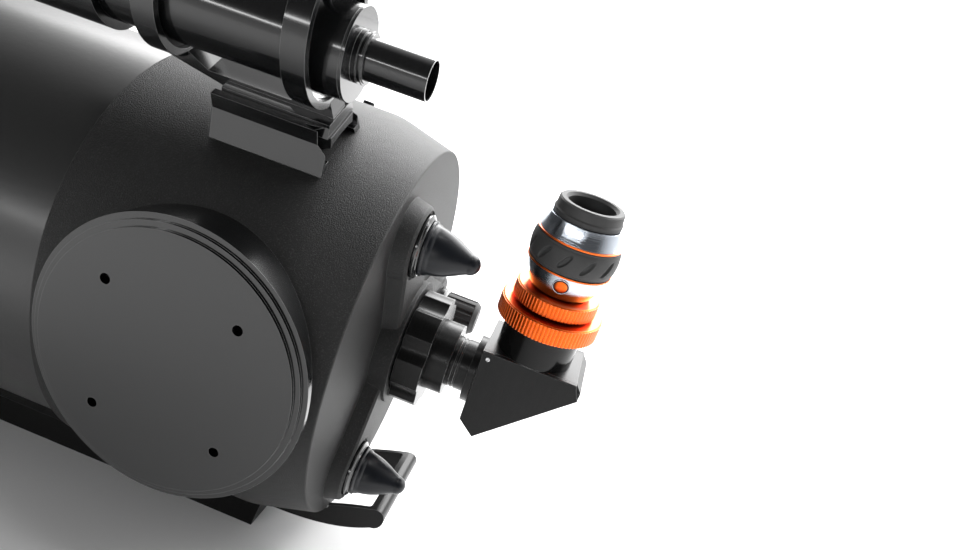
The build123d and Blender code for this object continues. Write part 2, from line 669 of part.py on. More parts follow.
with BuildPart() as side_plate_screw:
    with BuildSketch(side(-INNER_HALF)) as screw_shank:
        with Locations(*PLATE_SCREWS):
            Circle(PLATE_SCREW_R)
    extrude(screw_shank.sketch, amount=PLATE_T)
    with BuildSketch(side(-BODY_HALF)) as screw_head:
        with Locations(*PLATE_SCREWS):
            Circle(PLATE_SCREW_R + 0.7)
    extrude(screw_head.sketch, amount=0.8)
write(side_plate_screw, "side_plate_screw")

with BuildPart() as slope_plate:
    with BuildSketch(side(INNER_HALF - GAP)) as slope_profile:
        with BuildLine():
            Polyline(
                (BODY_LOW_X, BODY_LOW_Z),
                (BODY_REAR + CORNER_RUN, BODY_REAR_Z + CORNER_RISE),
                (BODY_REAR + CORNER_RUN, BODY_REAR_Z + CORNER_RISE + SLOPE_OFF),
                (BODY_LOW_X, BODY_LOW_Z + SLOPE_OFF),
                close=True,
            )
        make_face()
    extrude(slope_profile.sketch, amount=2 * (INNER_HALF - GAP))
write(slope_plate, "slope_plate")

CAVITY_LINE = BODY_TOP - BODY_REAR
MIRROR_SPAN = (BODY_FRONT + 13, BODY_REAR - 13.5)
with BuildPart() as diagonal_mirror:
    with BuildSketch(side(INNER_HALF - 7)) as flat_mirror:
        with BuildLine():
            Polyline(
                (MIRROR_SPAN[0], MIRROR_SPAN[0] + CAVITY_LINE + GAP),
                (MIRROR_SPAN[1], MIRROR_SPAN[1] + CAVITY_LINE + GAP),
                (MIRROR_SPAN[1] - 3, MIRROR_SPAN[1] + CAVITY_LINE + GAP + 3),
                (MIRROR_SPAN[0] - 3, MIRROR_SPAN[0] + CAVITY_LINE + GAP + 3),
                close=True,
            )
        make_face()
    extrude(flat_mirror.sketch, amount=2 * (INNER_HALF - 7))
write(diagonal_mirror, "diagonal_mirror")

with BuildPart() as diagonal_receptacle:
    stack(BODY_TOP + GAP, RECEPTACLE_TOP, RECEPTACLE_R, RECEPTACLE_BORE)
    stack(BODY_TOP + GAP, BODY_TOP + GAP + 4, RECEPTACLE_BORE + 1, RECEPTACLE_BORE - 4)
    stack(RECEPTACLE_TOP, LOW_RING_Z[1] - 3, RECEPTACLE_BORE + 2, RECEPTACLE_BORE)
write(diagonal_receptacle, "diagonal_receptacle")

# ==== twist-lock rings ===================================================================================
with BuildPart() as twist_ring_lower:
    stack(LOW_RING_Z[0], LOW_RING_Z[1], LOW_RING_R)
    stack(LOW_RING_Z[0], LOW_RING_Z[1] - 2.7, RECEPTACLE_BORE + 2 + FIT, mode=Mode.SUBTRACT)
    stack(LOW_RING_Z[0], LOW_RING_Z[1], LOW_RING_LIP, mode=Mode.SUBTRACT)
    chamfer(twist_ring_lower.edges().filter_by(GeomType.CIRCLE).sort_by(SortBy.RADIUS)[-2:], 1.0)
write(twist_ring_lower, "twist_ring_lower")

with BuildPart() as adapter_sleeve:
    stack(BODY_TOP + 12, UP_RING_Z[0] - GAP, RECEPTACLE_BORE - 1.3)
    stack(UP_RING_Z[0] - GAP, UP_RING_Z[1] - 3, SLEEVE_R)
    stack(BODY_TOP + 12, UP_RING_Z[1], BARREL_R + FIT, mode=Mode.SUBTRACT)
write(adapter_sleeve, "adapter_sleeve")

with BuildPart() as twist_ring_upper:
    stack(UP_RING_Z[0], UP_RING_Z[1], UP_RING_R)
    stack(UP_RING_Z[0], UP_RING_Z[1] - 2.7, SLEEVE_R + FIT, mode=Mode.SUBTRACT)
    stack(UP_RING_Z[0], UP_RING_Z[1], UP_RING_LIP, mode=Mode.SUBTRACT)
    chamfer(twist_ring_upper.edges().filter_by(GeomType.CIRCLE).sort_by(SortBy.RADIUS)[-2:], 1.0)
write(twist_ring_upper, "twist_ring_upper")

# ==== eyepiece ===========================================================================================
with BuildPart() as eyepiece_body:
    with BuildSketch(side(0)) as shell:
        with BuildLine():
            Polyline(
                (EYE_X + 13.5, SHELL_LOW),
                (EYE_X + 21.5, SHELL_LOW),
                (EYE_X + 23.4, SHELL_LOW + 1.5),
            )
            Spline(
                (EYE_X + 23.4, SHELL_LOW + 1.5),
                (EYE_X + 27.4, 99.9),
                (EYE_X + 30.2, GRIP_LOW - ACCENT_T),
            )
            Polyline(
                (EYE_X + 30.2, GRIP_LOW - ACCENT_T),
                (EYE_X + 26.5, GRIP_LOW - ACCENT_T),
                (EYE_X + 26.5, GRIP_HIGH + ACCENT_T),
                (EYE_X + 29.8, GRIP_HIGH + ACCENT_T),
            )
            Spline(
                (EYE_X + 29.8, GRIP_HIGH + ACCENT_T),
                (EYE_X + 27.6, 138.0),
                (EYE_X + 26.0, SHELL_HIGH),
            )
            Polyline(
                (EYE_X + 26.0, SHELL_HIGH),
                (EYE_X + 19.0, SHELL_HIGH),
                (EYE_X + 19.0, SHELL_HIGH - 12),
                (EYE_X + 13.5, SHELL_HIGH - 12),
                (EYE_X + 13.5, SHELL_LOW),
            )
        make_face()
    revolve(shell.sketch, axis=EYE_AXIS)
write(eyepiece_body, "eyepiece_body")

with BuildPart() as eyepiece_grip:
    with BuildSketch(side(0)) as rubber:
        with BuildLine():
            Line((EYE_X + 26.8, GRIP_LOW), (EYE_X + 30.6, GRIP_LOW))
            ThreePointArc(
                (EYE_X + 30.6, GRIP_LOW),
                (EYE_X + 32.0, (GRIP_LOW + GRIP_HIGH) / 2 - 0.6),
                (EYE_X + 30.2, GRIP_HIGH),
            )
            Line((EYE_X + 30.2, GRIP_HIGH), (EYE_X + 26.8, GRIP_HIGH))
            Line((EYE_X + 26.8, GRIP_HIGH), (EYE_X + 26.8, GRIP_LOW))
        make_face()
    revolve(rubber.sketch, axis=EYE_AXIS)
write(eyepiece_grip, "eyepiece_grip")

with BuildPart() as eyepiece_accent_rings:
    stack(GRIP_LOW - ACCENT_T + 0.1, GRIP_LOW - 0.1, 31.0, 26.8)
    stack(GRIP_HIGH + 0.1, GRIP_HIGH + ACCENT_T - 0.1, 30.8, 26.8)
write(eyepiece_accent_rings, "eyepiece_accent_rings")

with BuildPart() as eyepiece_barrel:
    stack(BARREL_LOW, SHELL_LOW - GAP, BARREL_R, BARREL_R - 1.2)
    stack(SHELL_LOW - 4, SHELL_LOW - GAP, BARREL_R, 11.0)
    stack(SHELL_LOW - 4, SHELL_LOW + 8, 13.2, 11.0)
write(eyepiece_barrel, "eyepiece_barrel")

with BuildPart() as eyepiece_lens:
    stack(SHELL_HIGH - 13, SHELL_HIGH - 8, 13.0)
write(eyepiece_lens, "eyepiece_lens")

with BuildPart() as eyecup:
    with BuildSketch(side(0)) as cup:
        with BuildLine():
            Polyline(
                (EYE_X + CUP_BORE, CUP_LOW - 9),
                (EYE_X + 18.7, CUP_LOW - 9),
                (EYE_X + 18.7, CUP_LOW),
                (EYE_X + CUP_R + 1.2, CUP_LOW),
                (EYE_X + CUP_R + 1.2, CUP_LOW + 3),
                (EYE_X + CUP_R + 0.4, CUP_LOW + 4),
                (EYE_X + CUP_R, CUP_HIGH - 1),
                (EYE_X + CUP_R - 1, CUP_HIGH),
                (EYE_X + CUP_BORE + 2, CUP_HIGH),
                (EYE_X + CUP_BORE, CUP_HIGH - 2),
                close=True,
            )
        make_face()
    revolve(cup.sketch, axis=EYE_AXIS)
write(eyecup, "eyecup")

# ==== finder =============================================================================================
F = {"y": FINDER_Y, "z": FINDER_Z}
with BuildPart() as finder_tube:
    bar(FINDER_FRONT, FINDER_BACK, FINDER_TUBE_R, **F)
    bar(FINDER_FRONT, FINDER_BACK - 3, FINDER_TUBE_R - 1.8, mode=Mode.SUBTRACT, **F)
    bar(FINDER_BACK, FINDER_BACK + FINDER_COLLAR_STEP, FINDER_COLLAR_R, **F)
    bar(FINDER_BACK, FINDER_COLLAR_END, FINDER_COLLAR_R - 1.1, **F)
    bar(FINDER_COLLAR_END - 1.4, FINDER_COLLAR_END - 0.6, FINDER_COLLAR_R, FINDER_COLLAR_R - 1.2, **F)
    groove = (FINDER_BACK - 2.0, FINDER_BACK - 1.2)
    bar(*groove, FINDER_TUBE_R + 1, FINDER_TUBE_R - 0.4, mode=Mode.SUBTRACT, **F)
    bar(FINDER_BACK - 4, FINDER_COLLAR_END, FINDER_BARREL_R + FIT, mode=Mode.SUBTRACT, **F)
write(finder_tube, "finder_tube")

with BuildPart() as finder_eyepiece:
    bar(FINDER_BACK - 8, FINDER_BARREL_END, FINDER_BARREL_R, FINDER_BARREL_BORE, **F)
write(finder_eyepiece, "finder_eyepiece")

with BuildPart() as finder_eye_lens:
    bar(FINDER_BACK, FINDER_BACK + 4, FINDER_BARREL_BORE - FIT, **F)
write(finder_eye_lens, "finder_eye_lens")

with BuildPart() as finder_objective_cell:
    bar(OBJECTIVE_FRONT, FINDER_FRONT + 18, OBJECTIVE_R, FINDER_TUBE_R + FIT, **F)
    bar(FINDER_FRONT - 10, FINDER_FRONT - 1, FINDER_TUBE_R + 1, 23.5, **F)
write(finder_objective_cell, "finder_objective_cell")

with BuildPart() as finder_objective_lens:
    bar(FINDER_FRONT - 18, FINDER_FRONT - 10 - GAP, FINDER_TUBE_R - GAP, **F)
write(finder_objective_lens, "finder_objective_lens")


def bracket(x):
    """A plane square to the axis for the finder bracket: local y points outwards from the tube."""
    return across(x, turn=FINDER_ANGLE)


with BuildPart() as finder_base:
    with BuildSketch(bracket(BASE_X[0])) as base_profile:
        with BuildLine():
            Polyline(
                (0, BASE_WEB[1]),
                (BASE_HALF, BASE_WEB[1]),
                (BASE_HALF - BASE_LEAN, BASE_LIP_TOP),
                (BASE_HALF + BASE_LIP_T, BASE_LIP_TOP),
                (BASE_HALF + BASE_LIP_T, BASE_WEB[1] - 3),
                (FOOT_HALF, 154),
                (FOOT_HALF - FOOT_T, 154),
                (BASE_HALF - 4, BASE_WEB[0]),
            )
            ThreePointArc(
                (BASE_HALF - 4, BASE_WEB[0]),
                (0, BASE_WEB[0] + 1.2),
                (-BASE_HALF + 4, BASE_WEB[0]),
            )
            Polyline(
                (-BASE_HALF + 4, BASE_WEB[0]),
                (-FOOT_HALF + FOOT_T, 154),
                (-FOOT_HALF, 154),
                (-BASE_HALF - BASE_LIP_T, BASE_WEB[1] - 3),
                (-BASE_HALF - BASE_LIP_T, BASE_LIP_TOP),
                (-BASE_HALF + BASE_LEAN, BASE_LIP_TOP),
                (-BASE_HALF, BASE_WEB[1]),
                (0, BASE_WEB[1]),
            )
        make_face()
    extrude(base_profile.sketch, amount=BASE_X[1] - BASE_X[0])
    bar(BASE_X[0] - 1, BASE_X[1] + 1, CELL_R + 0.1, mode=Mode.SUBTRACT)
    notch_plane = Plane(bracket(BASE_X[1]).origin, x_dir=(1, 0, 0), z_dir=bracket(0).y_dir)
    for notch_side in (-1, 1):
        with BuildSketch(notch_plane.offset(BASE_WEB[0] - 8)) as notch:
            with BuildLine():
                Polyline(
                    (1, notch_side * (BASE_HALF - 3.5)),
                    (1, notch_side * (BASE_HALF + 5.0)),
                    (-NOTCH_LEN, notch_side * BASE_HALF),
                    close=True,
                )
            make_face()
        extrude(notch.sketch, amount=30, mode=Mode.SUBTRACT)
write(finder_base, "finder_base")

SHOE_X = (BASE_X[0] + 4, BASE_X[1] - 1)
SHOE_GAP = 0.45
B = dict(zip("yz", polar(FINDER_R + BIG_RING_OUT, FINDER_ANGLE)))
ADJUSTER_ANGLES = (0, 120)


def adjuster_plane(screw_angle):
    """The plane at the finder's axis that a thumbscrew of the rear ring is square to."""
    turn = radians(screw_angle - FINDER_ANGLE)
    middle = (RIM_X + FRING_X[0] + FRING_LEN / 2, FINDER_Y, FINDER_Z)
    return Plane(origin=middle, x_dir=(1, 0, 0), z_dir=(0, sin(turn), cos(turn)))


with BuildPart() as finder_stand:
    with BuildSketch(bracket(SHOE_X[0])) as shoe:
        with BuildLine():
            Polyline(
                (-BASE_HALF + SHOE_GAP, BASE_WEB[1] + GAP),
                (BASE_HALF - SHOE_GAP, BASE_WEB[1] + GAP),
                (BASE_HALF - BASE_LEAN - SHOE_GAP, BASE_LIP_TOP),
                (BASE_HALF - BASE_LEAN - SHOE_GAP, BASE_LIP_TOP + 2),
                (-BASE_HALF + BASE_LEAN + SHOE_GAP, BASE_LIP_TOP + 2),
                (-BASE_HALF + BASE_LEAN + SHOE_GAP, BASE_LIP_TOP),
                close=True,
            )
        make_face()
    extrude(shoe.sketch, amount=SHOE_X[1] - SHOE_X[0])
    spine = Plane(origin=(RIM_X, FINDER_Y, FINDER_Z), x_dir=(1, 0, 0),
                  z_dir=(0, -cos(radians(FINDER_ANGLE)), -sin(radians(FINDER_ANGLE))))
    with BuildSketch(spine.offset(-8)) as web:
        with BuildLine():
            Polyline(
                (SHOE_X[1], -FINDER_R + BASE_WEB[1] + 3),
                (FRING_X[0] + FRING_LEN, -FRING_BORE - 1),
                (FRING_X[0], -FRING_BORE - 1),
                (FRING_X[0] - 12, -FRING_R - 6),
                (FRING_X[1] + FRING_LEN + 12, -FRING_R - 6),
                (FRING_X[1] + FRING_LEN, -FRING_BORE - 1),
                (FRING_X[1], -FRING_BORE - 1),
                (FRING_X[1], -FRING_R - 4),
                (SHOE_X[0], -FINDER_R + BASE_WEB[1] + 3),
                close=True,
            )
        make_face()
    extrude(web.sketch, amount=16)
    bar(FRING_X[0], FRING_X[0] + FRING_LEN, BIG_RING_R, **B)
    bar(FRING_X[1], FRING_X[1] + FRING_LEN, FRING_R + 1.5, **F)
    bar(FRING_X[0] - 1, FRING_X[0] + FRING_LEN + 1, BIG_RING_BORE, mode=Mode.SUBTRACT, **B)
    bar(FRING_X[1] - 1, FRING_X[1] + FRING_LEN + 1, FRING_BORE, mode=Mode.SUBTRACT, **F)
    for screw_angle in ADJUSTER_ANGLES:
        with BuildSketch(adjuster_plane(screw_angle)) as tap_hole:
            Circle(ADJUSTER_SHANK_R + FIT)
        extrude(tap_hole.sketch, amount=BIG_RING_R + 20, mode=Mode.SUBTRACT)
write(finder_stand, "finder_stand")

with BuildPart() as finder_oring:
    bar(FRING_X[1] + 4, FRING_X[1] + 10, FRING_BORE - 0.1, FINDER_TUBE_R + 0.1, **F)
write(finder_oring, "finder_oring")


def adjuster(screw_angle):
    """A thumbscrew through the rear ring, pointing at the finder's axis."""
    seat = adjuster_plane(screw_angle)
    swing = radians(screw_angle)
    outside = BIG_RING_OUT * cos(swing) + (BIG_RING_R ** 2 - (BIG_RING_OUT * sin(swing)) ** 2) ** 0.5
    with BuildSketch(seat.offset(FINDER_TUBE_R + 0.15)) as shank:
        Circle(ADJUSTER_SHANK_R)
    extrude(shank.sketch, amount=outside + 4 - FINDER_TUBE_R)
    with BuildSketch(seat.offset(outside + 2)) as head:
        Circle(ADJUSTER_HEAD_R)
        with PolarLocations(ADJUSTER_HEAD_R + 1.1, 10):
            Circle(1.6, mode=Mode.SUBTRACT)
    extrude(head.sketch, amount=ADJUSTER_HEAD)


with BuildPart() as finder_adjuster_upper:
    adjuster(0)
write(finder_adjuster_upper, "finder_adjuster_upper")

with BuildPart() as finder_adjuster_far:
    adjuster(120)
write(finder_adjuster_far, "finder_adjuster_far")

# ==== handle =============================================================================================
# the outline of an arm seen from the side: x, and how far below the rim's edge
HANDLE_UNDER = ((-52, 13.2), (-15, 11.2), (11, 6.1), (38.5, -5.2))
HANDLE_NOSE = ((38.5, -5.2), (46.4, -10.8), (46.5, -20.3), (38.8, -23.8))
HANDLE_TOP = ((38.8, -23.8), (11, -14.8), (-8, -6.8))
HANDLE_ROOT = ((-8, -6.8), (-52, 0.2), (-52, 13.2))
WINDOW_X = (-51.0, 34.0)


def below(outline):
    """Points of the handle's side outline, hung from the lowest point of the rim."""
    return [(x, -RIM_R - drop) for x, drop in outline]


with BuildPart() as handle:
    arm_plane = Plane(origin=(RIM_X, HANDLE_HALF, AXIS_Z), x_dir=(1, 0, 0), z_dir=(0, -1, 0))
    with BuildSketch(arm_plane) as arm_side:
        with BuildLine():
            Spline(*below(HANDLE_UNDER))
            Spline(*below(HANDLE_NOSE))
            Spline(*below(HANDLE_TOP))
            Polyline(*below(HANDLE_ROOT))
        make_face()
    extrude(arm_side.sketch, amount=2 * HANDLE_HALF)
    window_plane = Plane(origin=(RIM_X, 0, AXIS_Z - RIM_R + 50), x_dir=(1, 0, 0), z_dir=(0, 0, -1))
    with BuildSketch(window_plane) as window:
        with Locations(((WINDOW_X[0] + WINDOW_X[1]) / 2, 0)):
            window_width = 2 * (HANDLE_HALF - HANDLE_ARM_T)
            RectangleRounded(WINDOW_X[1] - WINDOW_X[0], window_width, HANDLE_CORNER_R)
    extrude(window.sketch, amount=80, mode=Mode.SUBTRACT)
    turned([
        (-CELL_LEN, 0),
        (-CELL_LEN, CELL_R + 0.1),
        (-TAPER_LEN + 8, CELL_R + 0.1),
        (0.1, RIM_R + 1.2),
        (0.1, 0),
    ], mode=Mode.SUBTRACT)
write(handle, "handle")

# ==== side hubs: mounting drums for a fork, one each side ==============================================
HUB_BOLTS = 4


def side_hub(sign):
    """A stepped drum standing on the cell's flank, its flat face drilled on a bolt circle."""
    outward = (0, sign, 0)
    for step in range(3):
        start = 60.0
        face = HUB_FACE_Y - HUB_STEP * (2 - step)
        base = Plane(origin=(RIM_X + HUB_X, sign * start, AXIS_Z), x_dir=(1, 0, 0), z_dir=outward)
        with BuildSketch(base) as drum_step:
            Circle(HUB_DISC_R - 4 * step)
        extrude(drum_step.sketch, amount=face - start)
    bar(-CELL_LEN - 40, 60, CELL_R + 0.1, mode=Mode.SUBTRACT)
    top = Plane(origin=(RIM_X + HUB_X, sign * HUB_FACE_Y, AXIS_Z), x_dir=(1, 0, 0), z_dir=outward)
    with BuildSketch(top) as bolt_holes:
        with PolarLocations(HUB_BOLT_R, HUB_BOLTS, start_angle=45):
            Circle(3.4)
    extrude(bolt_holes.sketch, amount=-HUB_BOLT_DEPTH, mode=Mode.SUBTRACT)


with BuildPart() as side_hub_near:
    side_hub(-1)
write(side_hub_near, "side_hub_near")

with BuildPart() as side_hub_far:
    side_hub(1)
write(side_hub_far, "side_hub_far")

# ==== dovetail rail and its saddles ======================================================================
def rail_screws(z0, z1, radius, mode=Mode.ADD):
    """Round bars at the four screw places of the rail, upright from z0 to z1."""
    with BuildSketch(Plane.XY.offset(z0)) as places:
        for saddle_x in SADDLE_X:
            for screw_y in (-RAIL_SCREW_Y, RAIL_SCREW_Y):
                with Locations((RIM_X + saddle_x + SADDLE_LEN / 2, screw_y)):
                    Circle(radius)
    extrude(places.sketch, amount=z1 - z0, mode=mode)


with BuildPart() as dovetail_rail:
    with BuildSketch(Plane(origin=(-RAIL_LEN / 2, 0, 0), x_dir=(0, 1, 0), z_dir=(1, 0, 0))) as rail_profile:
        with BuildLine():
            Polyline(
                (-RAIL_BASE_HALF, 0),
                (RAIL_BASE_HALF, 0),
                (RAIL_TOP_HALF, RAIL_T),
                (-RAIL_TOP_HALF, RAIL_T),
                close=True,
            )
        make_face()
    extrude(rail_profile.sketch, amount=RAIL_LEN)
    rail_screws(0, RAIL_SCREW_HEAD_T + GAP, RAIL_SCREW_HEAD_R + GAP, mode=Mode.SUBTRACT)
    rail_screws(0, RAIL_T, RAIL_SCREW_R + GAP, mode=Mode.SUBTRACT)
write(dovetail_rail, "dovetail_rail")

with BuildPart() as rail_saddles:
    for saddle_x in SADDLE_X:
        saddle_plane = Plane(origin=(RIM_X + saddle_x, 0, 0), x_dir=(0, 1, 0), z_dir=(1, 0, 0))
        with BuildSketch(saddle_plane) as saddle:
            with Locations((0, (RAIL_T + 0.1 + SADDLE_TOP) / 2)):
                Rectangle(2 * RAIL_TOP_HALF - 6, SADDLE_TOP - RAIL_T - 0.1)
        extrude(saddle.sketch, amount=SADDLE_LEN)
    bar(FRONT_CELL_FRONT - 10, 10, CELL_R + 0.1, mode=Mode.SUBTRACT)
    rail_screws(0, RAIL_SCREW_TIP + 1, RAIL_SCREW_R + FIT, mode=Mode.SUBTRACT)
write(rail_saddles, "rail_saddles")

with BuildPart() as saddle_screws:
    rail_screws(GAP, RAIL_SCREW_HEAD_T + GAP, RAIL_SCREW_HEAD_R)
    rail_screws(GAP, RAIL_SCREW_TIP, RAIL_SCREW_R)
write(saddle_screws, "saddle_screws")
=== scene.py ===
import json
import math

import bpy
import numpy as np
from mathutils import Euler, Matrix, Vector


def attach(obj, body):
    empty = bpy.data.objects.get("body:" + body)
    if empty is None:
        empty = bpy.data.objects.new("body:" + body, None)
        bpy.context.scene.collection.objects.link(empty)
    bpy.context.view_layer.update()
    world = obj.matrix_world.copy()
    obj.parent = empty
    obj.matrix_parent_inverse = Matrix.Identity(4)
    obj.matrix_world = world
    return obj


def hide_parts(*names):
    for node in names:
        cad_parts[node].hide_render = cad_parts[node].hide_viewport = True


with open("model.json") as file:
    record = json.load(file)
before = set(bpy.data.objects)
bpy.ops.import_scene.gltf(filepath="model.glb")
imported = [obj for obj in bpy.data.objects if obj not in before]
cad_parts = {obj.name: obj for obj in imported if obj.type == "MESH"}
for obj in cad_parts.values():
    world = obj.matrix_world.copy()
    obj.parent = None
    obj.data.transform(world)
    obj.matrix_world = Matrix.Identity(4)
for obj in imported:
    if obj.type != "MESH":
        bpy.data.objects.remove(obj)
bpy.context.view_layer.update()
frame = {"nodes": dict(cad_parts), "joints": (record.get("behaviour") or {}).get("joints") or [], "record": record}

# %% [markdown]
# # A wide catadioptric telescope with its star diagonal and eyepiece
# The CAD model is imported from model.glb, and every node sits where it belongs.
# This lesson gives it what makes it look real. It needs a camera, a studio, one finish for each kind of
# surface, and the small repeated shapes that CAD leaves out: knurls, screw sockets and the slots of a
# rubber grip.

# %% [markdown]
# # The camera
# The telescope is seen from behind its rear cell and a little above it, from the side that carries the
# finder. A wide lens stands close to the eyepiece, which makes the drum look large behind it, and the
# camera is rolled, so the tube runs downhill across the frame. Two turns and a roll say this more
# clearly than a matrix of nine numbers.

# %% Camera
AZIMUTH = 5.408
ELEVATION = 24.369
ROLL = 19.061
CAMERA_AT = Vector((0.40096, -0.51563, 0.41447))
LENS_MM = 26.038
SENSOR_MM = 36.0
SHIFT_X = 0.0421
SHIFT_Y = 0.0975
NEAREST = 0.01


def look_turn(azimuth, elevation, roll):
    """Turn that looks along +Y at azimuth 0, tipped down by elevation, then rolled about the view."""
    aim = Euler((math.radians(90 - elevation), 0, math.radians(azimuth)), "XYZ").to_matrix()
    return aim @ Matrix.Rotation(math.radians(roll), 3, "Z")


camera_data = bpy.data.cameras.new("camera")
camera_data.lens = LENS_MM
camera_data.sensor_width = SENSOR_MM
camera_data.shift_x = SHIFT_X
camera_data.shift_y = SHIFT_Y
camera_data.clip_start = NEAREST
camera = bpy.data.objects.new("camera", camera_data)
bpy.context.collection.objects.link(camera)
turn = look_turn(AZIMUTH, ELEVATION, ROLL).to_4x4()
camera.matrix_world = Matrix.Translation(CAMERA_AT) @ turn
bpy.context.scene.camera = camera
print("camera at", [round(v, 3) for v in CAMERA_AT], "lens", LENS_MM)

# %% [markdown]
# # Shader maths as plain Python
# A finish is mostly arithmetic on textures: a roughness that is 0.4 plus a tenth of a noise, say. Built
# node by node that is hard to read, so a small class stands for one output socket. Adding to it,
# multiplying it or raising it to a power makes the Math node and gives back the new socket. The same
# class serves Geometry Nodes, because both kinds of tree use the same Math node.

# %% A socket that does arithmetic
class Wire:
    """One output socket of a node tree. Arithmetic on it adds Math nodes."""

    def __init__(self, bench, socket):
        self.bench = bench
        self.socket = socket

    def sum_of(self, operation, *values):
        return self.bench.node("ShaderNodeMath", {"operation": operation}, dict(enumerate(values)))

    def __add__(self, other):
        return self.sum_of("ADD", self, other)

    def __sub__(self, other):
        return self.sum_of("SUBTRACT", self, other)

    def __rsub__(self, other):
        return self.sum_of("SUBTRACT", other, self)

    def __mul__(self, other):
        return self.sum_of("MULTIPLY", self, other)

    def __truediv__(self, other):
        return self.sum_of("DIVIDE", self, other)

    def __rtruediv__(self, other):
        return self.sum_of("DIVIDE", other, self)

    def __pow__(self, other):
        return self.sum_of("POWER", self, other)

    __radd__ = __add__
    __rmul__ = __mul__

    def clamp(self):
        return self.sum_of("MINIMUM", self.sum_of("MAXIMUM", self, 0.0), 1.0)


class Bench:
    """A node tree with one way to add any node: its type, its settings, then its sockets."""

    def __init__(self, tree):
        self.tree = tree

    def node(self, kind, settings=None, sockets=None, out=0):
        made = self.tree.nodes.new(kind)
        for name, value in (settings or {}).items():
            setattr(made, name, value)
        for name, value in (sockets or {}).items():
            slot = made.inputs[name]
            if isinstance(value, Wire):
                self.tree.links.new(value.socket, slot)
            else:
                slot.default_value = value
        return Wire(self, made.outputs[out]) if made.outputs else made

    def mix(self, factor, first, second):
        """A colour between two colours."""
        return self.node("ShaderNodeMix", {"data_type": "RGBA"}, {0: factor, 6: first, 7: second}, 2)


print("bench ready")

# %% [markdown]
# # Finishes
# Every finish starts from the same few ingredients: the place on the object, a noise at a given grain
# size, a bump, and a mask for edges. The edge mask compares the true normal with one rounded over a
# small radius. The two differ only near an edge, and that is where paint thins and anodising wears to
# bright metal.

# %% Ingredients of a finish
EDGE_SAMPLES = 6
EDGE_GAIN = 6.0


def grey(value, warm=0.0):
    """A neutral colour; warm tips it towards red, and a negative warm towards blue."""
    return (value * (1 + warm), value, value * (1 - warm), 1.0)


class Finish(Bench):
    """A material whose Principled shader is filled in step by step."""

    def __init__(self, name, colour, roughness, metallic=0.0, **fixed):
        self.material = bpy.data.materials.new(name)
        self.material.use_nodes = True
        super().__init__(self.material.node_tree)
        self.shader = self.tree.nodes["Principled BSDF"]
        self.set("Base Color", colour)
        self.set("Roughness", roughness)
        self.set("Metallic", metallic)
        for socket, value in fixed.items():
            self.set(socket.replace("_", " "), value)

    def set(self, socket, value):
        slot = self.shader.inputs[socket]
        if isinstance(value, Wire):
            self.tree.links.new(value.socket, slot)
        else:
            slot.default_value = value

    def place(self, stretch=(1, 1, 1)):
        """Object coordinates, in metres, stretched along each axis."""
        here = self.node("ShaderNodeTexCoord", out="Object")
        return self.node("ShaderNodeMapping", None, {"Vector": here, "Scale": stretch})

    def noise(self, grain, detail=2.0, stretch=(1, 1, 1), harsh=0.5):
        """Noise whose features are about grain metres across."""
        sockets = {"Vector": self.place(stretch), "Scale": 1 / grain, "Detail": detail, "Roughness": harsh}
        return self.node("ShaderNodeTexNoise", None, sockets)

    def edge(self, radius):
        """1 on edges sharper than radius, 0 on open faces."""
        soft = self.node("ShaderNodeBevel", {"samples": EDGE_SAMPLES}, {"Radius": radius})
        true = self.node("ShaderNodeNewGeometry", out="Normal")
        same = self.node("ShaderNodeVectorMath", {"operation": "DOT_PRODUCT"}, {0: soft, 1: true}, 1)
        return ((1 - same) * EDGE_GAIN).clamp()

    def bump(self, height, depth, rounding=0.0):
        """Height, in metres of depth, pushed into the normal; rounding softens the sharp edges."""
        sockets = {"Height": height, "Distance": depth, "Strength": 1.0}
        if rounding:
            rounded = self.node("ShaderNodeBevel", {"samples": EDGE_SAMPLES}, {"Radius": rounding})
            sockets["Normal"] = rounded
        self.set("Normal", self.node("ShaderNodeBump", None, sockets))


print("finish ready")

# %% [markdown]
# # Paint, powder coat and plastic
# The rear cell is a casting under a dark powder coat, whose pebbled skin scatters a broad soft shine
# with tiny lighter grains in it. The finder is smooth gloss black, the clutch knobs are moulded in
# black plastic with a finer skin, and the tube is satin paint with the faint waviness of spraying.

# %% Painted and moulded finishes
def cell_powder_coat():
    paint = Finish("cell_powder_coat", grey(0.010), 0.5, Specular_IOR_Level=0.28)
    pebbles = paint.noise(0.0008, 3.0, harsh=0.65)
    clouds = paint.noise(0.05, 2.0)
    worn = paint.edge(0.0006)
    speck = ((pebbles - 0.55) * 7.0).clamp()
    body = paint.mix(clouds, grey(0.008), grey(0.012))
    grained = paint.mix(speck * 0.6, body, grey(0.06))
    paint.set("Base Color", paint.mix(worn * 0.4, grained, grey(0.16)))
    paint.set("Roughness", 0.42 + pebbles * 0.16)
    paint.bump(pebbles, 0.0006, 0.0010)
    return paint.material


def tube_paint():
    paint = Finish("tube_paint", grey(0.012), 0.35, Coat_Weight=0.25, Coat_Roughness=0.22)
    waves = paint.noise(0.004, 2.0)
    dust = paint.noise(0.0006, 2.0)
    paint.set("Base Color", paint.mix(dust, grey(0.010), grey(0.017)))
    paint.set("Roughness", 0.30 + dust * 0.14)
    paint.bump(waves, 0.00006)
    return paint.material


def gloss_black():
    paint = Finish("gloss_black", grey(0.004), 0.12, Coat_Weight=0.3, Coat_Roughness=0.05)
    waves = paint.noise(0.006, 1.0)
    smear = paint.noise(0.03, 3.0)
    worn = paint.edge(0.0004)
    paint.set("Base Color", paint.mix(worn * 0.5, grey(0.004, -0.05), grey(0.34)))
    paint.set("Roughness", 0.10 + smear * 0.14)
    paint.bump(waves, 0.00001, 0.0004)
    return paint.material


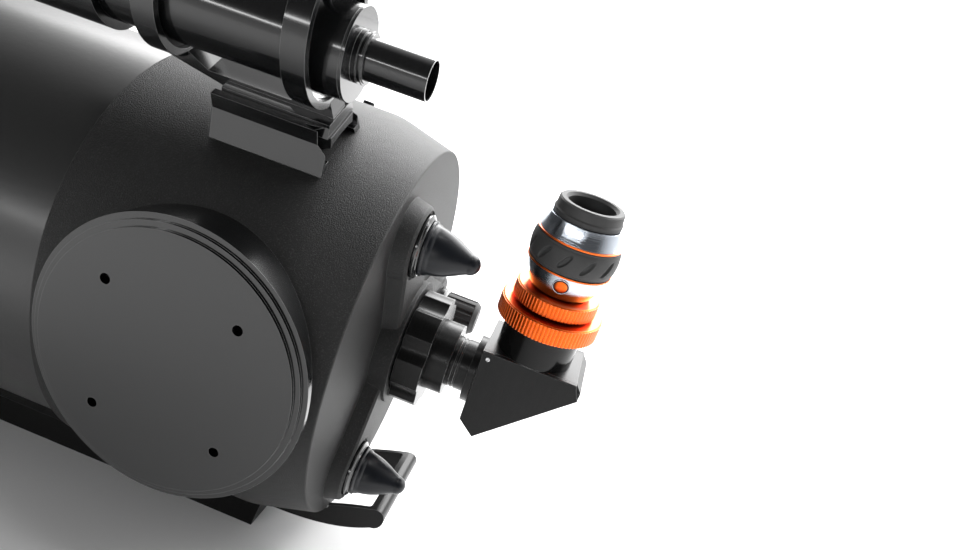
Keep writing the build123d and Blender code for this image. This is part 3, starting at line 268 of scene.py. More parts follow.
def black_plastic():
    plastic = Finish("black_plastic", (0.004, 0.005, 0.007, 1), 0.3, Specular_IOR_Level=0.3)
    skin = plastic.noise(0.0006, 2.0)
    worn = plastic.edge(0.0005)
    moulded = plastic.mix(skin, (0.003, 0.004, 0.006, 1), (0.006, 0.007, 0.010, 1))
    plastic.set("Base Color", plastic.mix(worn * 0.35, moulded, grey(0.12)))
    plastic.set("Roughness", 0.24 + skin * 0.14)
    plastic.bump(skin, 0.00003, 0.0006)
    return plastic.material


def baffle_black():
    matt = Finish("baffle_black", grey(0.006), 0.85)
    fuzz = matt.noise(0.0007, 3.0)
    matt.set("Base Color", matt.mix(fuzz, grey(0.004), grey(0.010)))
    matt.set("Roughness", 0.8 + fuzz * 0.15)
    matt.bump(fuzz, 0.0002)
    return matt.material


def rubber():
    skin = Finish("rubber", grey(0.03), 0.62, Specular_IOR_Level=0.4)
    grain = skin.noise(0.0005, 3.0)
    patches = skin.noise(0.012, 2.0)
    worn = skin.edge(0.0005)
    dull = skin.mix(patches, grey(0.024), grey(0.036))
    skin.set("Base Color", skin.mix(worn * 0.4, dull, grey(0.09)))
    skin.set("Roughness", 0.50 + grain * 0.2)
    skin.bump(grain, 0.00012, 0.0004)
    return skin.material


print("painted and moulded finishes ready")


# %% [markdown]
# # Metals
# Anodised and turned parts show the lathe: rings of very fine lines around the part's own axis.
# Stretching a noise flat along that axis gives such lines without any mapping of the surface. The rings
# of the eyepiece and the diagonal are turned about different axes, so each of them gets its own
# stretch.

# %% Metal finishes
EYE_TILT = math.radians(7.5)
EYE_LINE = (0.0, -math.sin(EYE_TILT), math.cos(EYE_TILT))
TUBE_LINE = (1.0, 0.0, 0.0)


def turned_lines(metal, pitch, along):
    """Noise squeezed along one direction: fine circles about it on a turned part."""
    here = metal.node("ShaderNodeTexCoord", out="Object")
    ahead = metal.node("ShaderNodeVectorMath", {"operation": "DOT_PRODUCT"}, {0: here, 1: along}, 1)
    return metal.node("ShaderNodeTexNoise", {"noise_dimensions": "1D"}, {"W": ahead / pitch, "Detail": 2.0})


def satin_black(name="satin_black", along=TUBE_LINE, smooth=0.22):
    metal = Finish(name, grey(0.003), 0.3, 0.0, Specular_IOR_Level=0.2)
    lines = turned_lines(metal, 0.0004, along)
    patches = metal.noise(0.02, 3.0)
    worn = metal.edge(0.0005)
    black = metal.mix(patches, grey(0.003), grey(0.006))
    metal.set("Base Color", metal.mix(worn * 0.7, black, grey(0.34)))
    metal.set("Metallic", worn * 0.7)
    metal.set("Roughness", smooth + lines * 0.14)
    metal.bump(lines, 0.000006, 0.0004)
    return metal.material


def orange_anodised():
    colour = (0.8, 0.12, 0.01, 1)
    metal = Finish("orange_anodised", colour, 0.26, 1.0, Coat_Weight=0.2, Coat_Roughness=0.15)
    lines = turned_lines(metal, 0.0003, EYE_LINE)
    patches = metal.noise(0.01, 2.0)
    worn = metal.edge(0.0004)
    dye = metal.mix(patches, (0.74, 0.095, 0.005, 1), (0.82, 0.135, 0.012, 1))
    metal.set("Base Color", metal.mix(worn * 0.55, dye, (1.0, 0.50, 0.26, 1)))
    metal.set("Roughness", 0.22 + lines * 0.16)
    metal.bump(lines, 0.00003, 0.0004)
    return metal.material


def bright_metal(name, colour, rough, along, pitch=0.0004, depth=0.00002):
    metal = Finish(name, colour, rough, 1.0)
    lines = turned_lines(metal, pitch, along)
    smear = metal.noise(0.02, 2.0)
    shade = tuple(0.86 * c for c in colour[:3]) + (1.0,)
    metal.set("Base Color", metal.mix(lines, shade, colour))
    metal.set("Roughness", rough * 0.7 + lines * rough * 0.5 + smear * rough * 0.4)
    metal.bump(lines, depth, 0.0004)
    return metal.material


def mirror():
    metal = Finish("mirror", grey(0.9), 0.02, 1.0)
    film = metal.noise(0.03, 3.0)
    metal.set("Base Color", metal.mix(film, (0.86, 0.88, 0.90, 1), (0.92, 0.92, 0.92, 1)))
    metal.set("Roughness", 0.015 + film * 0.03)
    return metal.material


def glass():
    colour = (0.86, 0.95, 0.93, 1)
    clear = Finish("glass", colour, 0.02, Transmission_Weight=1.0, IOR=1.5, Coat_Weight=0.3)
    film = clear.noise(0.02, 2.0)
    clear.set("Base Color", clear.mix(film, (0.80, 0.93, 0.90, 1), (0.90, 0.97, 0.95, 1)))
    clear.set("Roughness", film * 0.03)
    return clear.material


print("metal, mirror and glass finishes ready")

# %% Every finish by its slot name
finishes = {
    "cell_powder_coat": cell_powder_coat(),
    "tube_paint": tube_paint(),
    "gloss_black": gloss_black(),
    "satin_black": satin_black(),
    "orange_anodised": orange_anodised(),
    "polished_aluminium": bright_metal("polished_aluminium", (0.52, 0.56, 0.62, 1), 0.10, EYE_LINE),
    "machined_aluminium": bright_metal("machined_aluminium", (0.62, 0.62, 0.64, 1), 0.32, TUBE_LINE),
    "rubber": rubber(),
    "black_plastic": black_plastic(),
    "glass": glass(),
    "mirror": mirror(),
    "steel": bright_metal("steel", (0.60, 0.60, 0.61, 1), 0.25, TUBE_LINE, 0.0003),
    "baffle_black": baffle_black(),
}
print("finishes", sorted(finishes))

# %% [markdown]
# # Putting the finishes on the CAD nodes
# The record already says which finish each node takes. A CAD object keeps its mesh and its place; only
# its material slot changes.

# %% Assign the finishes
slot_of = {part["node"]: part["material_slot"] for part in frame["record"]["subparts"]}
finishes["receptacle_black"] = satin_black("receptacle_black", EYE_LINE, 0.07)
for name, node in frame["nodes"].items():
    finish = "receptacle_black" if name == "diagonal_receptacle" else slot_of[name]
    node.data.materials.clear()
    node.data.materials.append(finishes[finish])
print("nodes with a finish", len(frame["nodes"]))

# %% [markdown]
# # The eyepiece's own frame
# The diagonal leans a few degrees to one side, so everything on the eyepiece is turned about a tilted
# line. The twist ring's joint gives that line. Pieces are built upright about their own Z axis and then
# carried there, and the move is written into their meshes.

# %% The eyepiece's frame and its sizes
joints = {joint["name"]: joint for joint in frame["joints"]}
eye_line = Vector(joints["lower_twist_turn"]["axis"]).normalized()
on_line = Vector(joints["lower_twist_turn"]["pos_m"])
optical_z = joints["diagonal_turn"]["pos_m"][2]
eye_foot = on_line - eye_line * ((on_line.z - optical_z) / eye_line.z)
side_line = Vector((1, 0, 0))
eye_turn = Matrix((side_line, eye_line.cross(side_line), eye_line)).transposed().to_4x4()
EYE_FRAME = Matrix.Translation(eye_foot) @ eye_turn


def corners(node):
    """The vertices of a CAD node as an array."""
    mesh = frame["nodes"][node].data
    found = np.zeros(len(mesh.vertices) * 3, np.float32)
    mesh.vertices.foreach_get("co", found)
    return found.reshape(-1, 3)


def span(node, place):
    """Lowest height, greatest height and largest radius of a node about the Z axis of a frame."""
    inverse = np.array(place.inverted())
    local = corners(node) @ inverse[:3, :3].T + inverse[:3, 3]
    return local[:, 2].min(), local[:, 2].max(), np.hypot(local[:, 0], local[:, 1]).max()


for ring in ("twist_ring_lower", "twist_ring_upper", "eyepiece_grip"):
    print(ring, [round(float(v) * 1000, 1) for v in span(ring, EYE_FRAME)], "mm")

# %% [markdown]
# # From a modifier to a plain mesh
# Geometry Nodes trees are built once and used by name. A modifier's inputs are set by the identifier of
# the socket, before the object is first evaluated, and the result is then read back as a plain mesh.

# %% Helpers for Geometry Nodes
CREASE = math.radians(35)


def tree_named(name, sizes):
    """A new geometry tree with a Geometry input, named number inputs and a Geometry output."""
    tree = bpy.data.node_groups.new(name, "GeometryNodeTree")
    tree.interface.new_socket("Geometry", in_out="INPUT", socket_type="NodeSocketGeometry")
    tree.interface.new_socket("Geometry", in_out="OUTPUT", socket_type="NodeSocketGeometry")
    for title, kind, value in sizes:
        entry = tree.interface.new_socket(title, in_out="INPUT", socket_type=kind)
        if value is not None:
            entry.default_value = value
    bench = Bench(tree)
    start = tree.nodes.new("NodeGroupInput")
    given = {socket.name: Wire(bench, socket) for socket in start.outputs if socket.name}
    return tree, bench, given


def finish_tree(bench, geometry, material):
    """Ends a tree: instances made real, then the material."""
    real = bench.node("GeometryNodeRealizeInstances", None, {"Geometry": geometry})
    painted = bench.node("GeometryNodeSetMaterial", None, {"Geometry": real, "Material": material})
    bench.node("NodeGroupOutput", None, {"Geometry": painted})


def grow(name, host_mesh, tree, place, body, slot, **inputs):
    """Runs a tree on a mesh and leaves a plain object riding on a body."""
    host = bpy.data.objects.new(name + "_host", host_mesh)
    bpy.context.collection.objects.link(host)
    modifier = host.modifiers.new("grow", "NODES")
    modifier.node_group = tree
    for item in tree.interface.items_tree:
        if item.in_out == "INPUT" and item.name in inputs:
            modifier[item.identifier] = inputs[item.name]
    ready = host.evaluated_get(bpy.context.evaluated_depsgraph_get())
    mesh = bpy.data.meshes.new_from_object(ready)
    bpy.data.objects.remove(host)
    return settle(name, mesh, place, body, slot)


def settle(name, mesh, place, body, slot):
    """Carries a mesh to its place and gives it its body, its finish and its slot."""
    mesh.transform(place)
    mesh.name = name
    if not mesh.materials:
        mesh.materials.append(finishes[slot])
    mesh.shade_smooth()
    mesh.set_sharp_from_angle(angle=CREASE)
    piece = bpy.data.objects.new(name, mesh)
    bpy.context.collection.objects.link(piece)
    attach(piece, body)
    print(name, len(mesh.polygons), "faces")
    return piece


def mesh_from(name, points, faces):
    """A mesh from plain points and faces."""
    mesh = bpy.data.meshes.new(name)
    mesh.from_pydata([tuple(p) for p in points], [], faces)
    mesh.update()
    return mesh


def belt(row, around, above=None):
    """Faces between one ring of points and the next, or a named one; rings have around points each."""
    base = row * around
    top = (row + 1 if above is None else above) * around
    for col in range(around):
        ahead = (col + 1) % around
        yield base + col, base + ahead, top + ahead, top + col


def lid(row, around):
    """One flat face over a ring of points."""
    return tuple(row * around + col for col in range(around))


print("mesh helpers ready")

# %% [markdown]
# # Knurls round the twist rings
# A straight knurl is one rib repeated round the ring, so it is one short half-round bar instanced on
# the points of a circle. The bar is an eight-sided cylinder squeezed towards the ring and half sunk in
# it.

# %% The knurl tree
BAR_SIDES = 8
KNURL_SIZES = [
    ("Count", "NodeSocketInt", 72),
    ("Ring Radius", "NodeSocketFloat", 0.03),
    ("Rib Width", "NodeSocketFloat", 0.0016),
    ("Rib Length", "NodeSocketFloat", 0.01),
    ("Rib Height", "NodeSocketFloat", 0.0004),
    ("Material", "NodeSocketMaterial", None),
]
knurl_tree, bench, given = tree_named("knurl_ribs", KNURL_SIZES)
circle_sockets = {"Vertices": given["Count"], "Radius": given["Ring Radius"]}
circle = bench.node("GeometryNodeMeshCircle", None, circle_sockets)
half_width = given["Rib Width"] * 0.5
bar_sockets = {"Vertices": BAR_SIDES, "Radius": half_width, "Depth": given["Rib Length"]}
bar = bench.node("GeometryNodeMeshCylinder", None, bar_sockets)
flat = bench.node("ShaderNodeCombineXYZ", None, {0: given["Rib Height"] / half_width, 1: 1.0, 2: 1.0})
low_bar = bench.node("GeometryNodeTransform", None, {"Geometry": bar, "Scale": flat})
outward = bench.node("GeometryNodeInputPosition")
facing = bench.node("FunctionNodeAlignRotationToVector", {"axis": "X"}, {"Vector": outward})
rib_sockets = {"Points": circle, "Instance": low_bar, "Rotation": facing}
ribs = bench.node("GeometryNodeInstanceOnPoints", None, rib_sockets)
finish_tree(bench, ribs, given["Material"])
print("knurl tree", len(knurl_tree.nodes), "nodes")

# %% Knurls on both rings
EDGE_BARE = 0.0007
RIB_HEIGHT = 0.00045
RIB_SHARE = 0.72
KNURLED = [
    ("twist_ring_lower", 84, "lower_twist_lock"),
    ("twist_ring_upper", 70, "upper_twist_lock"),
]
for ring, count, body in KNURLED:
    low, high, radius = (float(v) for v in span(ring, EYE_FRAME))
    pitch = 2 * math.pi * radius / count
    middle = EYE_FRAME @ Matrix.Translation((0, 0, (low + high) / 2))
    sizes = {
        "Count": count,
        "Ring Radius": radius,
        "Rib Width": pitch * RIB_SHARE,
        "Rib Length": high - low - 2 * EDGE_BARE,
        "Rib Height": RIB_HEIGHT,
        "Material": finishes["orange_anodised"],
    }
    empty = bpy.data.meshes.new("empty")
    grow(ring + "_knurl", empty, knurl_tree, middle, body, "orange_anodised", **sizes)

# %% [markdown]
# # The slotted rubber grip
# The grip is one turned rubber band pressed with slanted leaf-shaped slots. Its skin is a fine grid,
# and the slots come from a rule: the distance to the nearest slot's long axis decides how far a point
# is pushed in. That rule is arithmetic on the position, so it fits Geometry Nodes well.

# %% The grip's skin
def turned_skin(name, outline, around):
    """A closed band turned about Z from (radius, height) points, with its faces outwards."""
    angles = np.linspace(0, 2 * math.pi, around, endpoint=False)
    rows = len(outline)
    points = [(r * math.cos(a), r * math.sin(a), z) for r, z in outline for a in angles]
    faces = []
    for row in range(rows):
        faces += belt(row, around, (row + 1) % rows)
    return mesh_from(name, points, faces)


grip_low, grip_high, grip_r = (float(v) for v in span("eyepiece_grip", EYE_FRAME))
GRIP_INNER = 0.0269
GRIP_ROWS = 46
GRIP_AROUND = 420
GRIP_BULGE = 0.0016
LIP_DEPTH = 0.0003
LIP_AT = 0.09
CORNER_DEPTH = 0.0006
END_SHARE = 0.03
outline = []
for step in range(GRIP_ROWS):
    t = step / (GRIP_ROWS - 1)
    end = min(t, 1 - t)
    bulge = 1 - (2 * t - 1) ** 2
    lip = LIP_DEPTH * math.exp(-((end - LIP_AT) / END_SHARE) ** 2)
    corner = CORNER_DEPTH * max(0.0, 1 - end / END_SHARE) ** 2
    skin_radius = grip_r - GRIP_BULGE + GRIP_BULGE * bulge - lip - corner
    outline.append((skin_radius, grip_low + (grip_high - grip_low) * t))
outline += [(GRIP_INNER, grip_high), (GRIP_INNER, grip_low)]
grip_skin = turned_skin("grip_skin", outline, GRIP_AROUND)
print("grip skin", len(grip_skin.vertices), "points")

# %% The slot tree
KEEP_POSITIVE = 100.0
WALL_STEEPNESS = 2.2
FLOOR_FLATNESS = 0.6
BORE_MARGIN = 0.001
BORE_CUTOFF = 4000.0
SLOT_SIZES = [
    ("Slots", "NodeSocketFloat", 12.0),
    ("Half Length", "NodeSocketFloat", 0.0068),
    ("Half Width", "NodeSocketFloat", 0.0021),
    ("Depth", "NodeSocketFloat", 0.0017),
    ("Lean", "NodeSocketFloat", 0.6),
    ("Middle", "NodeSocketFloat", 0.0),
    ("Turn", "NodeSocketFloat", 0.0),
    ("Material", "NodeSocketMaterial", None),
]
slot_tree, bench, given = tree_named("pressed_slots", SLOT_SIZES)
position = bench.node("GeometryNodeInputPosition")
x = bench.node("ShaderNodeSeparateXYZ", None, {0: position})
y = Wire(bench, x.socket.node.outputs["Y"])
z = Wire(bench, x.socket.node.outputs["Z"])
angle = x.sum_of("ARCTAN2", y, x) / (2 * math.pi) + given["Turn"]
radius = (x * x + y * y) ** 0.5
turns = angle * given["Slots"]
nearest = turns.sum_of("FRACT", turns + KEEP_POSITIVE + 0.5) - 0.5
sideways = nearest / given["Slots"] * radius * (2 * math.pi)
upward = z - given["Middle"]
cosine = x.sum_of("COSINE", given["Lean"])
sine = x.sum_of("SINE", given["Lean"])
along = sideways * sine + upward * cosine
beside = sideways * cosine - upward * sine
distance = (along / given["Half Length"]) ** 2.0 + (beside / given["Half Width"]) ** 2.0
hollow = ((1 - distance) * WALL_STEEPNESS).clamp() ** FLOOR_FLATNESS
skin_only = ((radius - (GRIP_INNER + BORE_MARGIN)) * BORE_CUTOFF).clamp()
push = (hollow * given["Depth"] * skin_only) * -1.0
normal = bench.node("GeometryNodeInputNormal")
offset = bench.node("ShaderNodeVectorMath", {"operation": "SCALE"}, {0: normal, "Scale": push})
pressed = bench.node("GeometryNodeSetPosition", None, {"Geometry": given["Geometry"], "Offset": offset})
finish_tree(bench, pressed, given["Material"])
print("slot tree", len(slot_tree.nodes), "nodes")

# %% The grip
FIRST_SLOT = 0.02
grip_middle = (grip_low + grip_high) / 2
slots = {"Middle": grip_middle, "Turn": FIRST_SLOT, "Material": finishes["rubber"]}
grip = grow("eyepiece_grip_slotted", grip_skin, slot_tree, EYE_FRAME, "eyepiece", "rubber", **slots)
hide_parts("eyepiece_grip")

# %% [markdown]
# # The orange window of the eyepiece
# A round orange disc is set in the polished band, in a turned bright bezel, with a flat black ring of
# painted shade between them where the gap's shadow falls. It follows the curve of the band, so its points
# are placed by angle and height on the shell rather than on a flat circle.

# %% The window's sizes
# Each ring of points is its radius on the shell and its lift above it.
WINDOW_AT = -1.5708
WINDOW_HEIGHT = 0.1018
WINDOW_AROUND = 48
BEZEL_RINGS = [(0.0062, -0.0006), (0.0061, 0.0004), (0.0058, 0.0006), (0.0054, 0.0005), (0.0053, -0.0006)]
# The black ring between bezel and disc is painted shade: a dark sheet laid where the gap's shadow falls.
PAINTED_SHADE_RINGS = [(0.0054, 0.0001), (0.0044, 0.0001)]
DISC_RINGS = [(0.0046, -0.0006), (0.0045, 0.0005), (0.0041, 0.0007), (0.0026, 0.0008), (0.0010, 0.00084)]

# The shell's radius is sampled at a few heights, from CAD vertices near each height and outside the bore.
SAMPLES = 9
WINDOW_REACH = 0.008
NEAR_HEIGHT = 0.003
SHELL_BORE = 0.02
print("window at height", WINDOW_HEIGHT)


# %% The shell under the window
def on_shell(radius, about, height, ring, swing, lift):
    """A point a distance ring from the window's middle, at an angle swing, lift above the shell."""
    around = about + ring * math.cos(swing) / radius
    out = radius + lift
    return (out * math.cos(around), out * math.sin(around), height + ring * math.sin(swing))


def shell_radius(height):
    """The shell's outer radius at a height, read from its CAD mesh."""
    inverse = np.array(EYE_FRAME.inverted())
    local = corners("eyepiece_body") @ inverse[:3, :3].T + inverse[:3, 3]
    radii = np.hypot(local[:, 0], local[:, 1])
    close = np.abs(local[:, 2] - height)
    outer = (close < NEAR_HEIGHT) & (radii > SHELL_BORE)
    heights = local[outer, 2]
    outs = radii[outer]
    order = np.argsort(heights)
    return float(np.interp(height, heights[order], outs[order]))


sample_heights = np.linspace(WINDOW_HEIGHT - WINDOW_REACH, WINDOW_HEIGHT + WINDOW_REACH, SAMPLES)
sample_radii = [shell_radius(h) for h in sample_heights]


def shell_at(height):
    """The shell's radius at a height near the window, from the samples."""
    return float(np.interp(height, sample_heights, sample_radii))


print("shell radius", [round(r * 1000, 2) for r in sample_radii], "mm")


# %% The window's three parts
def window_part(name, rings, slot, closed):
    """One turned part of the window, from (radius, lift) rings, laid on the shell."""
    points = []
    for ring, lift in rings:
        for step in range(WINDOW_AROUND):
            swing = 2 * math.pi * step / WINDOW_AROUND
            height = WINDOW_HEIGHT + ring * math.sin(swing)
            points.append(on_shell(shell_at(height), WINDOW_AT, WINDOW_HEIGHT, ring, swing, lift))
    faces = []
    for row in range(len(rings) - 1):
        faces += belt(row, WINDOW_AROUND)
    if closed:
        faces.append(lid(len(rings) - 1, WINDOW_AROUND))
    settle(name, mesh_from(name, points, faces), EYE_FRAME, "eyepiece", slot)


window_part("eyepiece_window_bezel", BEZEL_RINGS, "polished_aluminium", False)
# Painted shade: a flat black ring standing in for the shadow in the gap between bezel and disc.
window_part("eyepiece_window_groove", PAINTED_SHADE_RINGS, "black_plastic", False)
window_part("eyepiece_window_disc", DISC_RINGS, "orange_anodised", True)

# %% [markdown]
# # Screws with real sockets
# The CAD screws have plain heads. Each group is replaced by one mesh of turned heads with hexagon
# sockets. One head is modelled, and Geometry Nodes places it on the points of a small mesh, each turned
# by a random amount about its own axis, as real screws are left.

# %% One socket-head screw
HEAD_SIDES = 24
SOCKET_SHARE = 0.52
SHANK_SHARE = 0.55


def screw_head(radius, height, shank):
    """A turned head, its face at height, with a hexagon socket; its shank goes down from 0."""
    angles = [2 * math.pi * k / HEAD_SIDES for k in range(HEAD_SIDES)]
    socket = SOCKET_SHARE * radius
    shank_radius = SHANK_SHARE * radius

    def hexagon(angle):
        return socket * math.cos(math.pi / 6) / math.cos(angle % (math.pi / 3) - math.pi / 6)

    rings = [
        [(shank_radius, -shank)] * HEAD_SIDES,
        [(shank_radius, 0.0)] * HEAD_SIDES,
        [(0.95 * radius, 0.0)] * HEAD_SIDES,
        [(radius, 0.06 * height)] * HEAD_SIDES,
        [(radius, 0.78 * height)] * HEAD_SIDES,
        [(0.88 * radius, height)] * HEAD_SIDES,
        [(hexagon(a) * 1.06, height) for a in angles],
        [(hexagon(a), 0.93 * height) for a in angles],
        [(hexagon(a), 0.35 * height) for a in angles],
    ]
    points = []
    for ring in rings:
        points += [(r * math.cos(a), r * math.sin(a), z) for (r, z), a in zip(ring, angles)]
    faces = [tuple(reversed(range(HEAD_SIDES)))]
    for row in range(len(rings) - 1):
        faces += belt(row, HEAD_SIDES)
    faces.append(lid(len(rings) - 1, HEAD_SIDES))
    return mesh_from("screw_head", points, faces)


SCREW_SIZES = [
    ("Head", "NodeSocketObject", None),
    ("Lay", "NodeSocketRotation", None),
    ("Seed", "NodeSocketInt", 4),
    ("Material", "NodeSocketMaterial", None),
]
screw_tree, bench, given = tree_named("screws_on_points", SCREW_SIZES)
head = bench.node("GeometryNodeObjectInfo", None, {"Object": given["Head"]}, "Geometry")
spin = bench.node("FunctionNodeRandomValue", None, {"Max": math.pi / 3, "Seed": given["Seed"]}, 1)
upright = bench.node("FunctionNodeAxisAngleToRotation", None, {"Axis": (0, 0, 1), "Angle": spin})
laid_sockets = {"Rotation": upright, "Rotate By": given["Lay"]}
laid = bench.node("FunctionNodeRotateRotation", None, laid_sockets)
placed_sockets = {"Points": given["Geometry"], "Instance": head, "Rotation": laid}
placed = bench.node("GeometryNodeInstanceOnPoints", None, placed_sockets)
finish_tree(bench, placed, given["Material"])
print("screw tree", len(screw_tree.nodes), "nodes")


# %% Place every group of screws
SEED = 7


def screws(name, node, body, places, radius, height, shank, lay):
    """Puts detailed screws at the given places instead of a CAD node of plain ones."""
    model = bpy.data.objects.new("screw_model", screw_head(radius, height, shank))
    bpy.context.collection.objects.link(model)
    points = mesh_from(name, places, [])
    inputs = {"Head": model, "Lay": lay, "Seed": SEED, "Material": finishes["steel"]}
    piece = grow(name, points, screw_tree, Matrix(), body, "steel", **inputs)
    bpy.data.objects.remove(model)
    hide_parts(node)


def centres_of(node, count):
    """The middles of the separate screws of a node, found from its vertices."""
    points = corners(node)
    centres = [points[0]]
    for _ in range(count - 1):
        away = np.min([np.linalg.norm(points - c, axis=1) for c in centres], axis=0)
        centres.append(points[int(np.argmax(away))])
    owner = np.argmin([np.linalg.norm(points - c, axis=1) for c in centres], axis=0)
    groups = [points[owner == k] for k in range(count)]
    return [(group.min(0) + group.max(0)) / 2 for group in groups]


# %% The three groups of screws
# A screw's sizes are its head's radius, its head's height and its shank's length.
RING_SCREW = (0.0029, 0.002, 0.0032)
SADDLE_SCREW = (0.005, 0.005, 0.0175)
PLATE_SCREW = (0.0017, 0.0008, 0.0026)

front = float(corners("retaining_ring_screws")[:, 0].min())
forward = Euler((0, math.radians(-90), 0))
seats = [
    (front + RING_SCREW[1], float(c[1]), float(c[2]))
    for c in centres_of("retaining_ring_screws", 8)
]
group = "retaining_ring_socket_screws"
screws(group, "retaining_ring_screws", "optical_tube", seats, *RING_SCREW, forward)

foot = float(corners("saddle_screws")[:, 2].min())
downward = Euler((math.radians(180), 0, 0))
seats = [(float(c[0]), float(c[1]), foot + SADDLE_SCREW[1]) for c in centres_of("saddle_screws", 4)]
screws("saddle_socket_screws", "saddle_screws", "optical_tube", seats, *SADDLE_SCREW, downward)

plate = corners("side_plate_screw")
face_out = Vector((0, -math.cos(EYE_TILT), -math.sin(EYE_TILT)))
reach = float((plate @ np.array(face_out)).max())
middle = Vector(((plate.min(0) + plate.max(0)) / 2).tolist())
seat = middle + face_out * (reach - middle.dot(face_out) - PLATE_SCREW[1])
outward = face_out.to_track_quat("Z", "Y").to_euler()
screws("plate_socket_screw", "side_plate_screw", "diagonal", [tuple(seat)], *PLATE_SCREW, outward)

# %% [markdown]
# # The clutch knobs
# Each mirror clutch has a cone with a ball tip. Three broad hollows run down its sides and meet in
# ridges. The hollows fade towards the ball, which a straight cutter cannot do, so the skin is a grid of
# points: the radius follows the cone, less a depth that depends on the way round and on the way up.

# %% A knob's sizes and outline
FLANGE_R = 0.0196
FLANGE_T = 0.0026
CONE_R = 0.0183
BALL_R = 0.0074
STUB_R = 0.0045
HOLLOWS = 3
HOLLOW_DEPTH = 0.0019
HOLLOW_FROM = 0.07
HOLLOW_RISE = 0.05
SWELL = 0.0024
AROUND = 144
CONE_ROWS = 40
BALL_ROWS = 14


def knob_outline(length):
    """Points (along, radius, share of the hollow's depth) from the foot to the tip."""
    rows = [
        (0.0, STUB_R, 0),
        (0.0, FLANGE_R - 0.0005, 0),
        (0.0004, FLANGE_R, 0),
        (FLANGE_T - 0.0009, FLANGE_R, 0),
        (FLANGE_T, CONE_R + 0.0002, 0),
        (FLANGE_T + 0.0001, CONE_R, 0),
    ]
    cone_len = length - BALL_R - FLANGE_T
    for step in range(1, CONE_ROWS):
        t = step / CONE_ROWS
        swell = SWELL * math.sin(math.pi * t) * (1 - 0.35 * t)
        share = min(1.0, max(0.0, (t - HOLLOW_FROM) / HOLLOW_RISE)) * (1 - t) ** 0.8
        rows.append((FLANGE_T + cone_len * t, CONE_R + (BALL_R - CONE_R) * t + swell, share))
    for step in range(BALL_ROWS):
        turn = math.pi / 2 * step / BALL_ROWS
        rows.append((length - BALL_R + BALL_R * math.sin(turn), BALL_R * math.cos(turn), 0))
    return rows


print("knob outline", len(knob_outline(0.06)), "rows")


# %% Knob skins
def knob(name, node, joint, body, facing):
    """A skin in place of a CAD knob; facing is where one hollow looks, from up towards -Y."""
    points = corners(node)
    foot = float(points[:, 0].min())
    tip = float(points[:, 0].max())
    middle = joints[joint]["pos_m"]
    rows = knob_outline(tip - foot)
    skin = []
    for along, radius, share in rows:
        for step in range(AROUND):
            angle = 2 * math.pi * step / AROUND
            hollow = abs(math.cos(HOLLOWS / 2 * (angle - math.radians(facing)))) ** 1.3
            r = radius - HOLLOW_DEPTH * share * hollow
            skin.append((foot + along, middle[1] - r * math.sin(angle), middle[2] + r * math.cos(angle)))
    faces = []
    for row in range(len(rows) - 1):
        faces += belt(row, AROUND)
    last = (len(rows) - 1) * AROUND
    skin.append((tip, middle[1], middle[2]))
    skin.append((foot, middle[1], middle[2]))
    faces += [(last + col, last + (col + 1) % AROUND, last + AROUND) for col in range(AROUND)]
    faces += [((col + 1) % AROUND, col, last + AROUND + 1) for col in range(AROUND)]
    piece = settle(name, mesh_from(name, skin, faces), Matrix(), body, "black_plastic")
    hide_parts(node)


knob("clutch_cone_upper", "clutch_knob_upper", "upper_clutch_turn", "upper_clutch", 72)
knob("clutch_cone_lower", "clutch_knob_lower", "lower_clutch_turn", "lower_clutch", 58)

# %% [markdown]
# # The studio
# A pale floor lies under a white sky that is bright behind the telescope and dim in front of it. Black
# parts then stay black where they face the camera, and the bright side edges them with light. Three
# boxes over the floor keep it white out to where it ends. A rear box, a small key box and a long low
# strip draw the streaks on the finder, the cones and the polished bands.

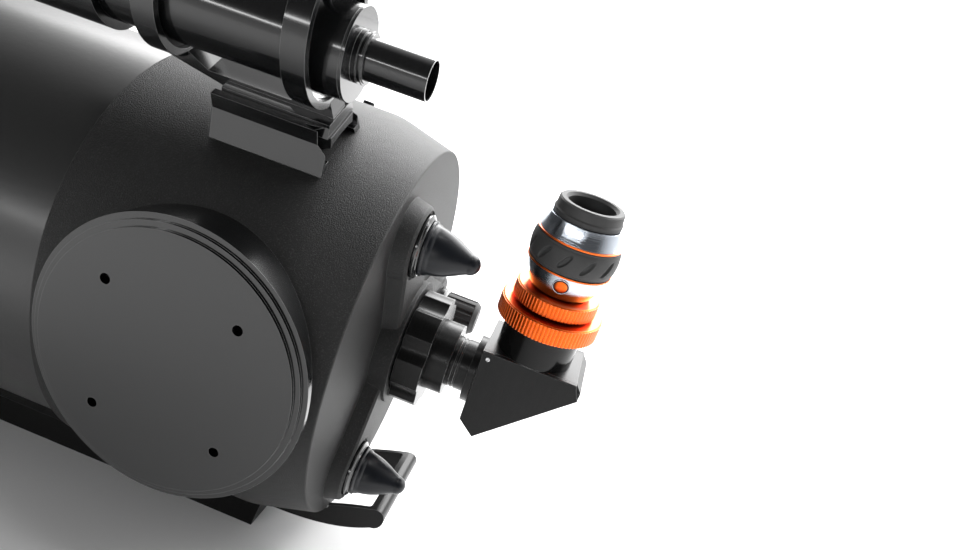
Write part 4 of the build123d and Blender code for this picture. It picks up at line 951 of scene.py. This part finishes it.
# %% The floor
FLOOR_SIDE = 30
FLOOR_FRONT = -20
FLOOR_BACK = 26
sheet = [
    (-FLOOR_SIDE, FLOOR_FRONT, 0),
    (FLOOR_SIDE, FLOOR_FRONT, 0),
    (FLOOR_SIDE, FLOOR_BACK, 0),
    (-FLOOR_SIDE, FLOOR_BACK, 0),
]
floor_mesh = mesh_from("floor", sheet, [(0, 1, 2, 3)])
floor = bpy.data.objects.new("floor", floor_mesh)
bpy.context.collection.objects.link(floor)
pale = Finish("floor_paper", grey(0.9), 0.8)
pale.set("Roughness", 0.75 + pale.noise(0.02, 2.0) * 0.1)
floor_mesh.materials.append(pale.material)
print("floor", FLOOR_SIDE * 2, "m wide,", FLOOR_BACK - FLOOR_FRONT, "m deep")

# %% The sky
world = bpy.data.worlds.new("studio")
world.use_nodes = True
bpy.context.scene.world = world
sky = Bench(world.node_tree)
direction = sky.node("ShaderNodeTexCoord", out="Generated")
BRIGHT_SIDE = Vector((0.40, 0.90, 0.17)).normalized()
DIM = 0.13
BRIGHT = 2.0
SPREAD = 0.12
RISE = 0.95
toward = {0: direction, 1: BRIGHT_SIDE}
facing_it = sky.node("ShaderNodeVectorMath", {"operation": "DOT_PRODUCT"}, toward, 1)
level = DIM + ((facing_it + SPREAD) * RISE).clamp() * (BRIGHT - DIM)
background = world.node_tree.nodes["Background"]
background.inputs["Color"].default_value = (1, 1, 1, 1)
world.node_tree.links.new(level.socket, background.inputs["Strength"])
print("sky from", DIM, "to", BRIGHT)


# %% Soft boxes
def soft_box(name, at, towards, width, height, power):
    """A rectangular area light at a place, looking towards another."""
    data = bpy.data.lights.new(name, "AREA")
    data.shape = "RECTANGLE"
    data.size = width
    data.size_y = height
    data.energy = power
    lamp = bpy.data.objects.new(name, data)
    bpy.context.collection.objects.link(lamp)
    gaze = (Vector(towards) - Vector(at)).to_track_quat("-Z", "Y")
    lamp.matrix_world = Matrix.Translation(at) @ gaze.to_matrix().to_4x4()


AIM = (0.35, 0.0, 0.25)
soft_box("rear_box", (1.9, 0.9, 1.2), AIM, 1.0, 1.0, 18)
soft_box("key_box", (0.5, -0.4, 2.0), AIM, 0.35, 0.35, 3)
soft_box("side_strip", (-0.3, -1.7, 0.55), (0.2, 0.0, 0.40), 1.9, 0.09, 9)
soft_box("floor_box", (0.8, 0.6, 1.3), (0.8, 0.6, 0.0), 0.9, 0.9, 17)
soft_box("back_box", (0.5, 3.2, 2.6), (0.5, 3.2, 0.0), 4.0, 3.0, 190)
soft_box("far_box", (-1.0, 14.0, 8.0), (-1.0, 14.0, 0.0), 20.0, 12.0, 5200)
bpy.context.scene.view_settings.view_transform = "Standard"
